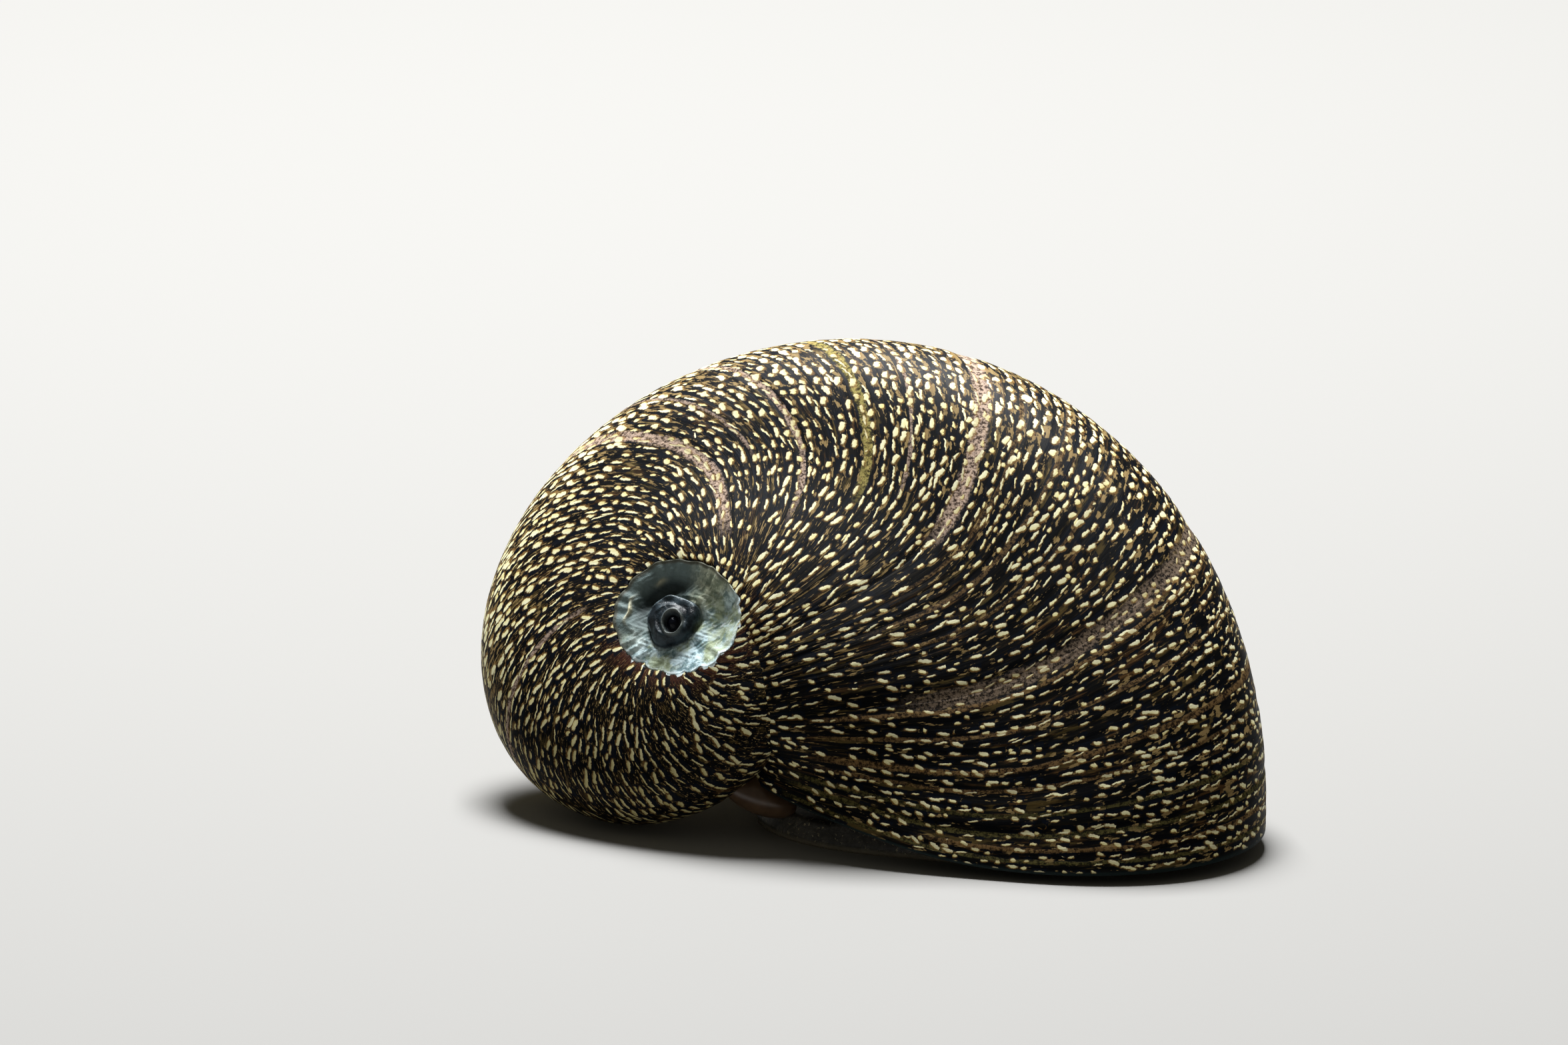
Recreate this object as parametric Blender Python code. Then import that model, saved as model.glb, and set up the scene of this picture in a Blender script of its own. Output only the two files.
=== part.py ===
"""Nerite snail at life size, resting on the sole of its foot.

The animal faces +X, its right side is towards -Y, and the floor is z = 0.
Its shell grows by turning round a tilted coiling axis and getting larger at a
steady rate, so every growth line is the lip's own outline, turned back and
shrunk about the apex. The shell is parted along two of those lines and along
its seam. Lengths below are in millimetres; the meshes are in metres.
"""

from math import cos, exp, pi, radians, sin

import bmesh
import bpy
from mathutils import Matrix, Vector

MM = 0.001
TURN = 2 * pi

# Gaps between solids that touch in life
SHELL_GAP = 0.3
FLESH_GAP = 0.15

# Coiling: the axis leans to the animal's right and back, and the shell grows
# GROWTH_PER_TURN times larger with each turn about it
AXIS_LEAN = radians(-26.4)
AXIS_RISE = radians(37.0)
GROWTH_PER_TURN = 4.55
APEX = Vector((-10.15, 0.13, 6.6))
AXIS = Vector((sin(AXIS_LEAN) * cos(AXIS_RISE), -cos(AXIS_LEAN) * cos(AXIS_RISE), sin(AXIS_RISE)))

# The lip, as a radius about the middle of the sole and a height over the floor
LIP_RADIUS = 6.95
LIP_OVAL = 1.61
LIP_OVAL_TURN = radians(21.3)
LIP_SQUARE = 0.25
LIP_EGG = 0.19
LIP_EGG_TURN = radians(29.4)
LIP_LEFT_BULGE = 1.5
LIP_LEFT_PLACE = radians(56)
LIP_LEFT_WIDTH = radians(40)
LIP_FLARE = 2.8
LIP_FLARE_PLACE = radians(80)
LIP_FLARE_WIDTH = radians(37)
LIP_FLARE_START = radians(80)
LIP_HEIGHT = 1.29
LIP_TILT = 1.14
LIP_TILT_TURN = radians(131.1)
LIP_ARCH = 0.255
LIP_ARCH_TURN = radians(32.2)

# The whorl's upper edge spreads over the whorl before it, behind the lip
SPREAD_PLACE = radians(-169)
SPREAD_WIDTH = radians(29)
SPREAD_OUT = 2.25
SPREAD_OUT_START = radians(25)
SPREAD_UP = 0.52
SPREAD_UP_START = radians(57)
SPREAD_END = radians(-153)
SPREAD_END_WIDTH = radians(15)

# Growth angles where the shell is parted, 0 at the lip and less before it
LIP_PART = radians(-33.6)
BODY_PART = radians(-128.4)
FIRST_WHORL = radians(-470)
PART_GAP = radians(1.3)
LAST_WHORL_END = radians(2)

# The mouth of the shell: its wall, thicker at the rear, and how the hollow
# behind it draws in, as (growth angle in degrees, inset) pairs
LIP_THICKNESS = 0.9
REAR_THICKNESS = 0.7
REAR_WIDTH = radians(40)
MOUTH_DEPTH = ((6, 0.0), (0, 0.0), (-8, 0.15), (-16, 0.5), (-24, 1.0), (-31, 1.9), (-36, 3.2))

# The worn apex: an oval hollow about a line along the axis, beside the pole.
# Heights here and for the column are along the axis from the apex
CRATER_ACROSS = 2.17
CRATER_UP = 1.95
CRATER_SHIFT = (-0.27, 0.71)
CRATER_FLOOR = -1.35
CRATER_TOP = 2.5
POCKET_FLOOR = -2.2
KNOB_RADIUS = 0.95
KNOB_TOP = -0.5

# The column that closes the shell round its axis, as (radius, height) pairs,
# the room cleared for it in the last whorl, and the smooth pad beside it
COLUMN = ((0.4, -1.5), (1.2, -2.3), (2.0, -3.4), (2.4, -4.6), (2.0, -5.7), (0.9, -6.4))
COLUMN_CLEARANCE = ((0.7, -1.3), (1.5, -2.2), (2.1, -3.3), (2.2, -4.6), (1.8, -5.8), (0.7, -6.6))
CALLUS_CENTRE = (-7.7, -0.9, 1.75)
CALLUS_SIZE = (1.3, 1.1, 0.75)

# The deck across the mouth, on the side of the axis, and the lid carried under it
DECK_BEARING = radians(146)
DECK_EDGE = 3.2
DECK_BOTTOM = 2.0
DECK_THICKNESS = 0.8
LID_BEARING = radians(156)
LID_DISTANCE = 4.7
LID_SIZE = (1.8, 2.6)
LID_THICKNESS = 0.45
LID_BOTTOM = 1.15
LID_BACK = 0.5
LID_RIM = 0.12

# The foot's rings from the sole up: inset from the lip's outline, how much of
# that is given back under a high lip, height, and share of the lip's height
FOOT_RINGS = (
    (1.35, 0.25, 0.0, 0.0),
    (1.25, 0.4, 0.22, 0.0),
    (1.35, 0.1, 0.3, 0.35),
    (2.1, 0.0, 0.0, 1.0),
    (2.2, 0.0, 0.4, 1.0),
    (2.7, 0.0, 0.68, 1.0),
    (3.6, 0.0, 0.8, 1.0),
)
FOOT_GROWTH = radians(-70)
HIGH_LIP_START = 0.5
HIGH_LIP_SPAN = 1.4
FOOT_REAR_HEIGHT = 9

# The fleshy rim inside the lip
COLLAR_INSET = 1.45
COLLAR_SIZE = (0.55, 0.5)
COLLAR_RISE = 0.15
COLLAR_ENDS = (radians(-112), radians(70))

# The head: half width, top and bottom at the neck, what is added by the eyes
# and taken off at the snout, and how full its outline is along its length
HEADING = radians(66)
HEAD_START = 7.35
HEAD_LENGTH = 5.2
NECK = (1.05, 0.95, 0.16)
SWELL = (0.62, 0.9, 0.06)
SNOUT_LOSS = (0.25, 0.35)
SWELL_START, SWELL_SPAN = 0.36, 0.26
SNOUT_START, SNOUT_SPAN = 0.7, 0.3
HEAD_ENDS = ((0.0, 0.8), (0.05, 0.95), (0.12, 1.0), (0.86, 1.0), (0.94, 0.86), (0.98, 0.62), (1.0, 0.3))
HEAD_FLATNESS = 0.35

# The eyes, each on a short stalk behind and outside its feeler's root
EYE_RADIUS = 0.26
EYE_SOCKET_GAP = 0.1
EYE_BEHIND = 0.55
EYE_OUT = 0.5
EYE_HEIGHT = 1.72
STALK_SIZE = (0.42, 0.42, 0.5)
STALK_IN = 0.12
STALK_DROP = 0.2

# The feelers: length and splay of each, left then right
FEELER_REACH = 10.75
FEELER_SPREAD = 1.25
FEELER_ROOT_HEIGHT = 1.3
FEELER_ROOT_IN = 0.15
FEELER_ROOT_RADIUS = 0.36
FEELER_TIP_RADIUS = 0.26
FEELER_TIP_START = 0.97
FEELER_SAG = 0.75
FEELER_LENGTHS = (3.7, 3.1)
FEELER_SPLAYS = (radians(30), radians(-25))
FEELER_SOCKET = (-0.08, 0.4)
SIDES = ((1, "left"), (-1, "right"))

COLOURS = {
    "shell": ((0.045, 0.038, 0.025), 0.35),
    "chalk": ((0.42, 0.47, 0.48), 0.7),
    "callus": ((0.62, 0.50, 0.38), 0.35),
    "lid": ((0.16, 0.11, 0.09), 0.4),
    "flesh": ((0.06, 0.055, 0.05), 0.4),
    "eye": ((0.01, 0.01, 0.01), 0.15),
}


def material(name):
    """The named finish, made once."""
    if name in bpy.data.materials:
        return bpy.data.materials[name]
    colour, roughness = COLOURS[name]
    made = bpy.data.materials.new(name)
    made.use_nodes = True
    shader = made.node_tree.nodes["Principled BSDF"]
    shader.inputs["Base Color"].default_value = (*colour, 1)
    shader.inputs["Roughness"].default_value = roughness
    shader.inputs["Metallic"].default_value = 0
    return made


def solid(name, finish, along, around, place):
    """A closed solid through rings of points: place(t, a) in mm, t from 0 to 1 and a one turn."""
    bm = bmesh.new()
    bmesh.ops.create_grid(bm, x_segments=along, y_segments=around, size=0.5)
    for vert in bm.verts:
        vert.co = Vector(place(vert.co.x + 0.5, (vert.co.y + 0.5) * TURN)) * MM
    bmesh.ops.remove_doubles(bm, verts=bm.verts, dist=1e-7)
    ends = bmesh.ops.holes_fill(bm, edges=bm.edges, sides=0)["faces"]
    bmesh.ops.poke(bm, faces=ends)
    bmesh.ops.triangulate(bm, faces=bm.faces)
    bmesh.ops.recalc_face_normals(bm, faces=bm.faces)
    mesh = bpy.data.meshes.new(name)
    bm.to_mesh(mesh)
    bm.free()
    mesh.shade_smooth()
    mesh.set_sharp_from_angle(angle=radians(40))
    mesh.materials.append(material(finish))
    made = bpy.data.objects.new(name, mesh)
    bpy.context.collection.objects.link(made)
    return made


def cutter(shape):
    """Marks a shape that only cuts or joins."""
    shape.hide_render = True
    shape.display_type = "WIRE"
    return shape


def combine(body, shape, operation="DIFFERENCE", coiled=False):
    """Cuts the shape out of the body, or joins it on; a coiled one may pass through itself."""
    step = body.modifiers.new(f"{operation.title()} {shape.name}", "BOOLEAN")
    step.object = shape
    step.operation = operation
    step.solver = "EXACT"
    step.use_self = coiled


def bell(distance, width):
    """1 in the middle, falling off on both sides."""
    return exp(-((distance / width) ** 2))


def wrapped(angle):
    """The same angle within half a turn of zero."""
    return (angle + pi) % TURN - pi


def eased(value):
    """0 to 1 with soft ends, for values from 0 to 1."""
    held = min(max(value, 0.0), 1.0)
    return held * held * (3 - 2 * held)


def outline(growth, a):
    """The growing lip's distance from its middle, before its left side has flared in full."""
    oval = a + LIP_OVAL_TURN
    return (
        LIP_RADIUS
        + LIP_OVAL * cos(2 * oval)
        + LIP_SQUARE * cos(4 * oval)
        + LIP_EGG * cos(3 * (oval + LIP_EGG_TURN))
        + LIP_LEFT_BULGE * bell(wrapped(a - LIP_LEFT_PLACE), LIP_LEFT_WIDTH)
        + LIP_FLARE * bell(wrapped(a - LIP_FLARE_PLACE), LIP_FLARE_WIDTH) * bell(growth, LIP_FLARE_START)
    )


def lip_radius(a):
    """The lip's distance from the middle of the sole, seen from above."""
    return outline(0, a)


def lip_height(a):
    """The lip's height over the floor."""
    return LIP_HEIGHT + LIP_TILT * cos(a - LIP_TILT_TURN) + LIP_ARCH * cos(2 * (a + LIP_ARCH_TURN))


def grown(growth, point):
    """A point of the lip carried back to an earlier growth angle."""
    scale = GROWTH_PER_TURN ** (growth / TURN)
    return APEX + scale * (Matrix.Rotation(-growth, 3, AXIS) @ (point - APEX))


def whorl_point(growth, a, swell=0.0):
    """A point of the whorl's outside, swollen by a gap in a cutter."""
    scale = GROWTH_PER_TURN ** (growth / TURN)
    fade = 1 / (1 + exp((SPREAD_END - growth) / SPREAD_END_WIDTH))
    spread = bell(wrapped(a - SPREAD_PLACE), SPREAD_WIDTH) * fade
    out = SPREAD_OUT * spread * (1 - bell(growth, SPREAD_OUT_START))
    up = SPREAD_UP * spread * (1 - bell(growth, SPREAD_UP_START))
    radius = outline(growth, a) + out + swell / scale
    point = Vector((radius * cos(a), radius * sin(a), lip_height(a)))
    return grown(growth, point.lerp(APEX, up))


def whorl(name, finish, start, end, along, around=32, swell=0.0):
    """A filled length of whorl between two growth angles."""
    return solid(name, finish, along, around, lambda t, a: whorl_point(start + (end - start) * t, a, swell))


def mouth_point(t, a, clear=0.0):
    """A point of the hollow behind the lip, drawn in from the whorl's outside."""
    place = t * (len(MOUTH_DEPTH) - 1)
    i = min(int(place), len(MOUTH_DEPTH) - 2)
    (growth_a, inset_a), (growth_b, inset_b) = MOUTH_DEPTH[i], MOUTH_DEPTH[i + 1]
    share = place - i
    growth = radians(growth_a + (growth_b - growth_a) * share)
    inset = inset_a + (inset_b - inset_a) * share + clear
    inset += LIP_THICKNESS + REAR_THICKNESS * bell(wrapped(a - pi), REAR_WIDTH)
    radius = outline(growth, a) - inset
    return grown(growth, Vector((radius * cos(a), radius * sin(a), lip_height(a))))


def axis_frame():
    """Two directions across the coiling axis: one towards +X, one up."""
    across = (Vector((1, 0, 0)) - AXIS * AXIS.x).normalized()
    return across, AXIS.cross(across)


def turned(name, finish, profile, shift=(0, 0), around=28, size=(1.0, 1.0)):
    """A turned solid about the crater's line, or one beside it, from (radius, height) pairs."""
    across, up = axis_frame()
    centre = APEX + across * (CRATER_SHIFT[0] + shift[0]) + up * (CRATER_SHIFT[1] + shift[1])

    def place(t, a):
        radius, height = profile[round(t * (len(profile) - 1))]
        return centre + across * radius * size[0] * cos(a) + up * radius * size[1] * sin(a) + AXIS * height

    return solid(name, finish, len(profile) - 1, around, place)


def shell():
    """The shell in four parts, with its mouth and its worn apex cut out."""
    lip = whorl("shell_outer_lip", "shell", LIP_PART + PART_GAP / 2, 0, 6, 38)
    body = whorl("shell_body_whorl", "shell", BODY_PART + PART_GAP / 2, LIP_PART - PART_GAP / 2, 12, 40)
    spire = whorl("shell_spire_whorl", "shell", FIRST_WHORL, BODY_PART - PART_GAP / 2, 30)
    earlier = cutter(
        whorl("earlier_whorls", "shell", FIRST_WHORL, BODY_PART - radians(40), 30, swell=SHELL_GAP)
    )
    mouth = cutter(solid("mouth_hollow", "shell", len(MOUTH_DEPTH) - 1, 36, mouth_point))
    oval = (CRATER_ACROSS, CRATER_UP)
    crater = cutter(turned("crater", "chalk", ((1.0, POCKET_FLOOR), (1.0, CRATER_TOP)), (0, 0), 32, oval))
    column_shift = (-CRATER_SHIFT[0], -CRATER_SHIFT[1])
    column = cutter(turned("column", "shell", COLUMN, column_shift, 24))
    last = cutter(whorl("last_whorl", "shell", BODY_PART, LAST_WHORL_END, 18, 40, swell=SHELL_GAP))
    combine(column, last, coiled=True)
    combine(spire, column, "UNION", coiled=True)
    clearance = cutter(turned("column_clearance", "shell", COLUMN_CLEARANCE, column_shift, 20))
    for part in (lip, body):
        combine(part, earlier, coiled=True)
        combine(part, mouth)
        combine(part, clearance)
    for part in (lip, body, spire):
        combine(part, crater)


def worn_apex():
    """The crater's chalky floor with the knob of the first whorl on it."""
    edge = CRATER_UP - SHELL_GAP
    bottom = POCKET_FLOOR + SHELL_GAP
    slope = (KNOB_TOP - CRATER_FLOOR) / 4
    turned(
        "shell_apex",
        "chalk",
        (
            (edge - 0.1, bottom),
            (edge, bottom + 0.1),
            (edge, CRATER_FLOOR + 0.1),
            (edge - 0.25, CRATER_FLOOR),
            (KNOB_RADIUS, CRATER_FLOOR - 0.02),
            (KNOB_RADIUS, CRATER_FLOOR + slope),
            (KNOB_RADIUS - 0.1, CRATER_FLOOR + 2.5 * slope),
            (KNOB_RADIUS - 0.35, KNOB_TOP - 0.4 * slope),
            (KNOB_RADIUS - 0.7, KNOB_TOP),
        ),
    )


def side_block(name, edge, bottom, top):
    """A cutting block over the side of the mouth that is nearest the axis."""
    depth, width = 12, 12
    ahead = Vector((cos(DECK_BEARING), sin(DECK_BEARING), 0))
    across = Vector((-sin(DECK_BEARING), cos(DECK_BEARING), 0))
    corners = ((edge, -width), (edge + depth, -width), (edge + depth, width), (edge, width))

    def place(t, a):
        reach, side = corners[round(a / TURN * len(corners)) % len(corners)]
        return ahead * reach + across * side + Vector((0, 0, bottom + (top - bottom) * t))

    return cutter(solid(name, "callus", 1, len(corners), place))


def deck():
    """The shelly deck across the inner side of the mouth."""
    plate = solid(
        "shell_columella_deck",
        "callus",
        len(MOUTH_DEPTH) - 1,
        40,
        lambda t, a: mouth_point(t, a, clear=SHELL_GAP),
    )
    block = side_block("deck_block", DECK_EDGE, DECK_BOTTOM, DECK_BOTTOM + DECK_THICKNESS)
    combine(plate, block, "INTERSECT")


def callus():
    """The smooth pad under the seam, between the lip's inner end and the spire."""
    pad = ball("shell_callus", "callus", Vector(CALLUS_CENTRE), CALLUS_SIZE)
    combine(pad, bpy.data.objects["last_whorl"], coiled=True)
    combine(pad, bpy.data.objects["earlier_whorls"], coiled=True)


def operculum():
    """The lid, a D-shaped plate carried on the rear of the foot."""
    ahead = Vector((cos(LID_BEARING), sin(LID_BEARING), 0))
    across = Vector((-sin(LID_BEARING), cos(LID_BEARING), 0))

    def place(t, a):
        flatness = LID_BACK if cos(a) < 0 else 1.0
        rim = 1 - LID_RIM * abs(2 * t - 1)
        reach = LID_DISTANCE + LID_SIZE[0] * cos(a) * flatness * rim
        side = LID_SIZE[1] * sin(a) * rim
        return ahead * reach + across * side + Vector((0, 0, LID_BOTTOM + LID_THICKNESS * t))

    solid("operculum", "lid", 2, 28, place)


def foot():
    """The foot, flat under its sole, rising into the mouth of the shell."""

    def place(t, a):
        inset, given, height, share = FOOT_RINGS[round(t * (len(FOOT_RINGS) - 1))]
        lip = lip_height(a)
        radius = outline(FOOT_GROWTH, a) - inset + given * eased((lip - HIGH_LIP_START) / HIGH_LIP_SPAN)
        return Vector((radius * cos(a), radius * sin(a), height + share * lip))

    body = solid("foot", "flesh", len(FOOT_RINGS) - 1, 40, place)
    edge, bottom = DECK_EDGE - SHELL_GAP, LID_BOTTOM - SHELL_GAP
    combine(body, side_block("foot_rear_block", edge, bottom, FOOT_REAR_HEIGHT))


def mantle_edge():
    """The fleshy rim that lines the lip round the front and both sides."""
    start, end = COLLAR_ENDS
    width, height = COLLAR_SIZE

    def place(t, a):
        bearing = start + (end - start) * t
        radius = lip_radius(bearing) - COLLAR_INSET - width / 2 + width / 2 * cos(a)
        level = lip_height(bearing) + COLLAR_RISE + height / 2 + height / 2 * sin(a)
        return Vector((radius * cos(bearing), radius * sin(bearing), level))

    solid("mantle_edge", "flesh", 24, 8, place)


def heading_frame():
    """The directions ahead of and to the left of the head."""
    return Vector((cos(HEADING), sin(HEADING), 0)), Vector((-sin(HEADING), cos(HEADING), 0))


def head_section(t):
    """The head's half width, middle height and half height from the neck to the snout."""
    swell = eased((t - SWELL_START) / SWELL_SPAN)
    snout = eased((t - SNOUT_START) / SNOUT_SPAN)
    width = NECK[0] + SWELL[0] * swell - SNOUT_LOSS[0] * snout
    top = NECK[1] + SWELL[1] * swell - SNOUT_LOSS[1] * snout
    bottom = NECK[2] + SWELL[2] * swell
    return width, (top + bottom) / 2, (top - bottom) / 2


def head_fullness(t):
    """How full the head's outline is, less at both ends."""
    for (t0, f0), (t1, f1) in zip(HEAD_ENDS, HEAD_ENDS[1:]):
        if t <= t1:
            return f0 + (f1 - f0) * (t - t0) / (t1 - t0)
    return HEAD_ENDS[-1][1]


def head():
    """The broad, low head with its snout, and a short stalk for each eye."""
    ahead, left = heading_frame()

    def place(t, a):
        width, middle, half = head_section(t)
        fullness = head_fullness(t)
        side = width * fullness * cos(a)
        rise = half * (HEAD_FLATNESS + (1 - HEAD_FLATNESS) * fullness) * sin(a)
        return ahead * (HEAD_START + HEAD_LENGTH * t) + left * side + Vector((0, 0, middle + rise))

    body = solid("head", "flesh", 14, 14, place)
    for side, word in SIDES:
        centre = eye_centre(side) - left * side * STALK_IN - Vector((0, 0, STALK_DROP))
        stalk = ball(f"eye_stalk_{word}", "flesh", centre, STALK_SIZE)
        combine(body, cutter(stalk), "UNION")
    for side, word in SIDES:
        socket = ball(f"eye_socket_{word}", "eye", eye_centre(side), (EYE_RADIUS + EYE_SOCKET_GAP,) * 3)
        combine(body, cutter(socket))
        root = feeler(f"feeler_socket_{word}", side, *FEELER_SOCKET, swell=FLESH_GAP)
        combine(body, cutter(root))


def ball(name, finish, centre, radii, along=8, around=12):
    """An ellipsoid with its poles up and down."""

    def place(t, a):
        level = pi * (0.04 + 0.92 * t)
        return centre + Vector(
            (radii[0] * sin(level) * cos(a), radii[1] * sin(level) * sin(a), -radii[2] * cos(level))
        )

    return solid(name, finish, along, around, place)


def eye_centre(side):
    """The middle of an eye, at the outer side of its feeler's root."""
    ahead, left = heading_frame()
    reach = FEELER_REACH - EYE_BEHIND
    return ahead * reach + left * side * (FEELER_SPREAD + EYE_OUT) + Vector((0, 0, EYE_HEIGHT))


def eyes():
    """Two small dark eyes."""
    for side, word in SIDES:
        ball(f"eye_{word}", "eye", eye_centre(side), (EYE_RADIUS,) * 3)


def feeler(name, side, start=0.0, end=1.0, swell=0.0):
    """A slender feeler, or a length of one, out and forwards from the head's side in a gentle curve."""
    ahead, left = heading_frame()
    which = 0 if side > 0 else 1
    length = FEELER_LENGTHS[which]
    splay = FEELER_SPLAYS[which]
    spread = side * (FEELER_SPREAD - FEELER_ROOT_IN)
    root = ahead * FEELER_REACH + left * spread + Vector((0, 0, FEELER_ROOT_HEIGHT))

    def middle(t):
        bend = splay * (0.6 + 0.55 * t)
        way = ahead * cos(bend) + left * sin(bend)
        sag = FEELER_SAG * sin(pi * min(t, 0.95) * 0.62)
        return root + way * (length * t) - Vector((0, 0, sag))

    def place(t, a):
        reach = start + (end - start) * t
        direction = (middle(reach + 0.01) - middle(reach - 0.01)).normalized()
        side_way = direction.cross(Vector((0, 0, 1))).normalized()
        up_way = side_way.cross(direction)
        radius = FEELER_ROOT_RADIUS + (FEELER_TIP_RADIUS - FEELER_ROOT_RADIUS) * reach + swell
        if reach > FEELER_TIP_START:
            radius *= 0.6
        return middle(reach) + side_way * radius * cos(a) + up_way * radius * sin(a)

    return solid(name, "flesh", 12, 8, place)


def feelers():
    """Both feelers, each rooted in a socket in the head."""
    for side, word in SIDES:
        feeler(f"tentacle_{word}", side)


def main():
    for old in list(bpy.data.objects):
        bpy.data.objects.remove(old, do_unlink=True)
    shell()
    worn_apex()
    deck()
    callus()
    operculum()
    foot()
    mantle_edge()
    head()
    eyes()
    feelers()


main()
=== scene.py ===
"""Nerite snail at life size: the looks of its shell, worn apex, flesh, eyes and lid."""

from math import cos, pi, radians, sin

import bmesh
import bpy
import numpy as np
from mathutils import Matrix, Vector
from mathutils.bvhtree import BVHTree


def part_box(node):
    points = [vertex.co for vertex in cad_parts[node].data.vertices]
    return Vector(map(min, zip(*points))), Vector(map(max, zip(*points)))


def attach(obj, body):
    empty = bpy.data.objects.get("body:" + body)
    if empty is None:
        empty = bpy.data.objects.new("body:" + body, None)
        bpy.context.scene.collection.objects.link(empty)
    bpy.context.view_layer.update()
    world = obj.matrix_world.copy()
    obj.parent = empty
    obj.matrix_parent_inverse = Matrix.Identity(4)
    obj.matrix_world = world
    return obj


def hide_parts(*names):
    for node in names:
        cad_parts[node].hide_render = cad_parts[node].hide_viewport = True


bl_info = {
    "name": "Nerite Snail",
    "version": (1, 0, 0),
    "blender": (4, 5, 0),
    "location": "3D View > Sidebar > Nerite",
    "description": "Builds a life-size nerite snail over its packed solids",
    "category": "Object",
}

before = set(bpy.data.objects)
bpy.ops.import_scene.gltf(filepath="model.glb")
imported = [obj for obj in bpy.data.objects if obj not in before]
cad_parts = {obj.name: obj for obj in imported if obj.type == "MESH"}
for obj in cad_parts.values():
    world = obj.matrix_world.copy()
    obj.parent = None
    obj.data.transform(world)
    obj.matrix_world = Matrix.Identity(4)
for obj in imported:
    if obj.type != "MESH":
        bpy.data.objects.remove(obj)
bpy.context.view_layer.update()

MM = 0.001
TURN = 2 * pi

# Coiling, the same as in the solids: lengths in millimetres
AXIS_LEAN = radians(-26.4)
AXIS_RISE = radians(37.0)
GROWTH_PER_TURN = 4.55
APEX = np.array((-10.15, 0.13, 6.6))
AXIS = np.array((sin(AXIS_LEAN) * cos(AXIS_RISE), -cos(AXIS_LEAN) * cos(AXIS_RISE), sin(AXIS_RISE)))
SEAM = radians(-170.5)
FAR_SIDE = radians(150)

# Growth angles of the wide bands, where the shell is divided
BAND_NEAR_LIP = radians(-33.6)
BAND_PINK = radians(-67.0)
BAND_REAR = radians(-128.4)
FIRST_WHORL = radians(-470)

# How far each growth line's markings lag behind the lip's outline along the
# whorl, as radians for rising powers of the place along the line
LAG = ((2.404, -4.89, 3.949), (-3.644, -1.672, 0.363), (1.102, 3.257, -1.773))
LAG_HOLD = radians(-268)

# The mouth: how its wall draws in behind the lip
LIP_THICKNESS = 0.9
REAR_THICKNESS = 0.7
MOUTH_DEPTH = ((0, 0.0), (-8, 0.15), (-16, 0.5), (-24, 1.0), (-31, 1.9))

# The worn apex
CRATER_RADIUS = 2.09
CRATER_LIFT = 0.07
CRATER_OVAL = 0.24
CRATER_TURN = radians(33.6)
CRATER_SHIFT = (-0.27, 0.71)


def bell(distance, width):
    """1 in the middle, falling off on both sides."""
    return np.exp(-((distance / width) ** 2))


def wrapped(angle):
    """The same angle within half a turn of zero."""
    return (angle + pi) % TURN - pi


def eased(value):
    """0 to 1 with soft ends."""
    held = np.clip(value, 0, 1)
    return held * held * (3 - 2 * held)


def outline(growth, a):
    """The growing lip's distance from its middle."""
    oval = a + radians(21.3)
    return (
        6.95
        + 1.61 * np.cos(2 * oval)
        + 0.25 * np.cos(4 * oval)
        + 0.19 * np.cos(3 * (oval + radians(29.4)))
        + 1.5 * bell(wrapped(a - radians(56)), radians(40))
        + 2.8 * bell(wrapped(a - radians(80)), radians(37)) * bell(growth, radians(80))
    )


def lip_height(a):
    """The lip's height over the floor."""
    return 1.29 + 1.14 * np.cos(a - radians(131.1)) + 0.255 * np.cos(2 * (a + radians(32.2)))


def grown(growth, points):
    """Points of the lip carried back to earlier growth angles."""
    away = points - APEX
    turn_cos, turn_sin = np.cos(-growth)[:, None], np.sin(-growth)[:, None]
    turned = away * turn_cos + np.cross(AXIS, away) * turn_sin
    turned += AXIS * (away @ AXIS)[:, None] * (1 - turn_cos)
    return APEX + (GROWTH_PER_TURN ** (growth / TURN))[:, None] * turned


def whorl_points(growth, a, inset=0.0):
    """Points of the whorl's outside, or of its wall's inside."""
    fade = 1 / (1 + np.exp((radians(-153) - growth) / radians(15)))
    spread = bell(wrapped(a - radians(-169)), radians(29)) * fade
    out = 2.25 * spread * (1 - bell(growth, radians(25)))
    up = 0.52 * spread * (1 - bell(growth, radians(57)))
    radius = outline(growth, a) + out - inset
    points = np.stack((radius * np.cos(a), radius * np.sin(a), lip_height(a)), -1)
    points += (APEX - points) * up[:, None]
    return grown(growth, points)


def lag(mark, a):
    """How far a growth line's markings lie behind its lip outline."""
    along = np.clip((a - SEAM) / (FAR_SIDE - SEAM), 0, 1)
    age = -np.maximum(mark, LAG_HOLD) / pi
    stages = (1 - np.exp(-age / 0.2), age, age**2)
    return sum(LAG[i][j] * stages[i] * along ** (j + 1) for i in range(3) for j in range(3))


def ridges(mark, a, across):
    """Low growth ridges in mm, stronger at the wide bands."""
    rise = np.zeros_like(mark)
    for place, height, width in BANDS_RAISED:
        rise += height * bell((mark - place) * across, width)
    rise += 0.007 * np.sin(mark * 61 + 2 * np.sin(mark * 13)) * np.sin(mark * 23 + 1.3)
    rise += 0.004 * np.sin(mark * 143 + 3 * np.sin(mark * 31) + a)
    return rise


BANDS_RAISED = (
    (BAND_PINK, 0.045, 0.3),
    (BAND_NEAR_LIP, 0.05, 0.35),
    (BAND_REAR, 0.03, 0.25),
    (radians(-103.5), 0.03, 0.15),
    (radians(-14), 0.03, 0.2),
    (radians(-7), 0.03, 0.15),
)
LINE_TABLE = np.linspace(-pi, pi, 721)


def line_length(a):
    """The length along the lip, from the bearing at the rear, in mm."""
    zero = np.zeros_like(LINE_TABLE)
    steps = np.linalg.norm(np.diff(whorl_points(zero, LINE_TABLE), axis=0), axis=1)
    return np.interp(a, LINE_TABLE, np.concatenate(((0,), np.cumsum(steps))))


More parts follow.
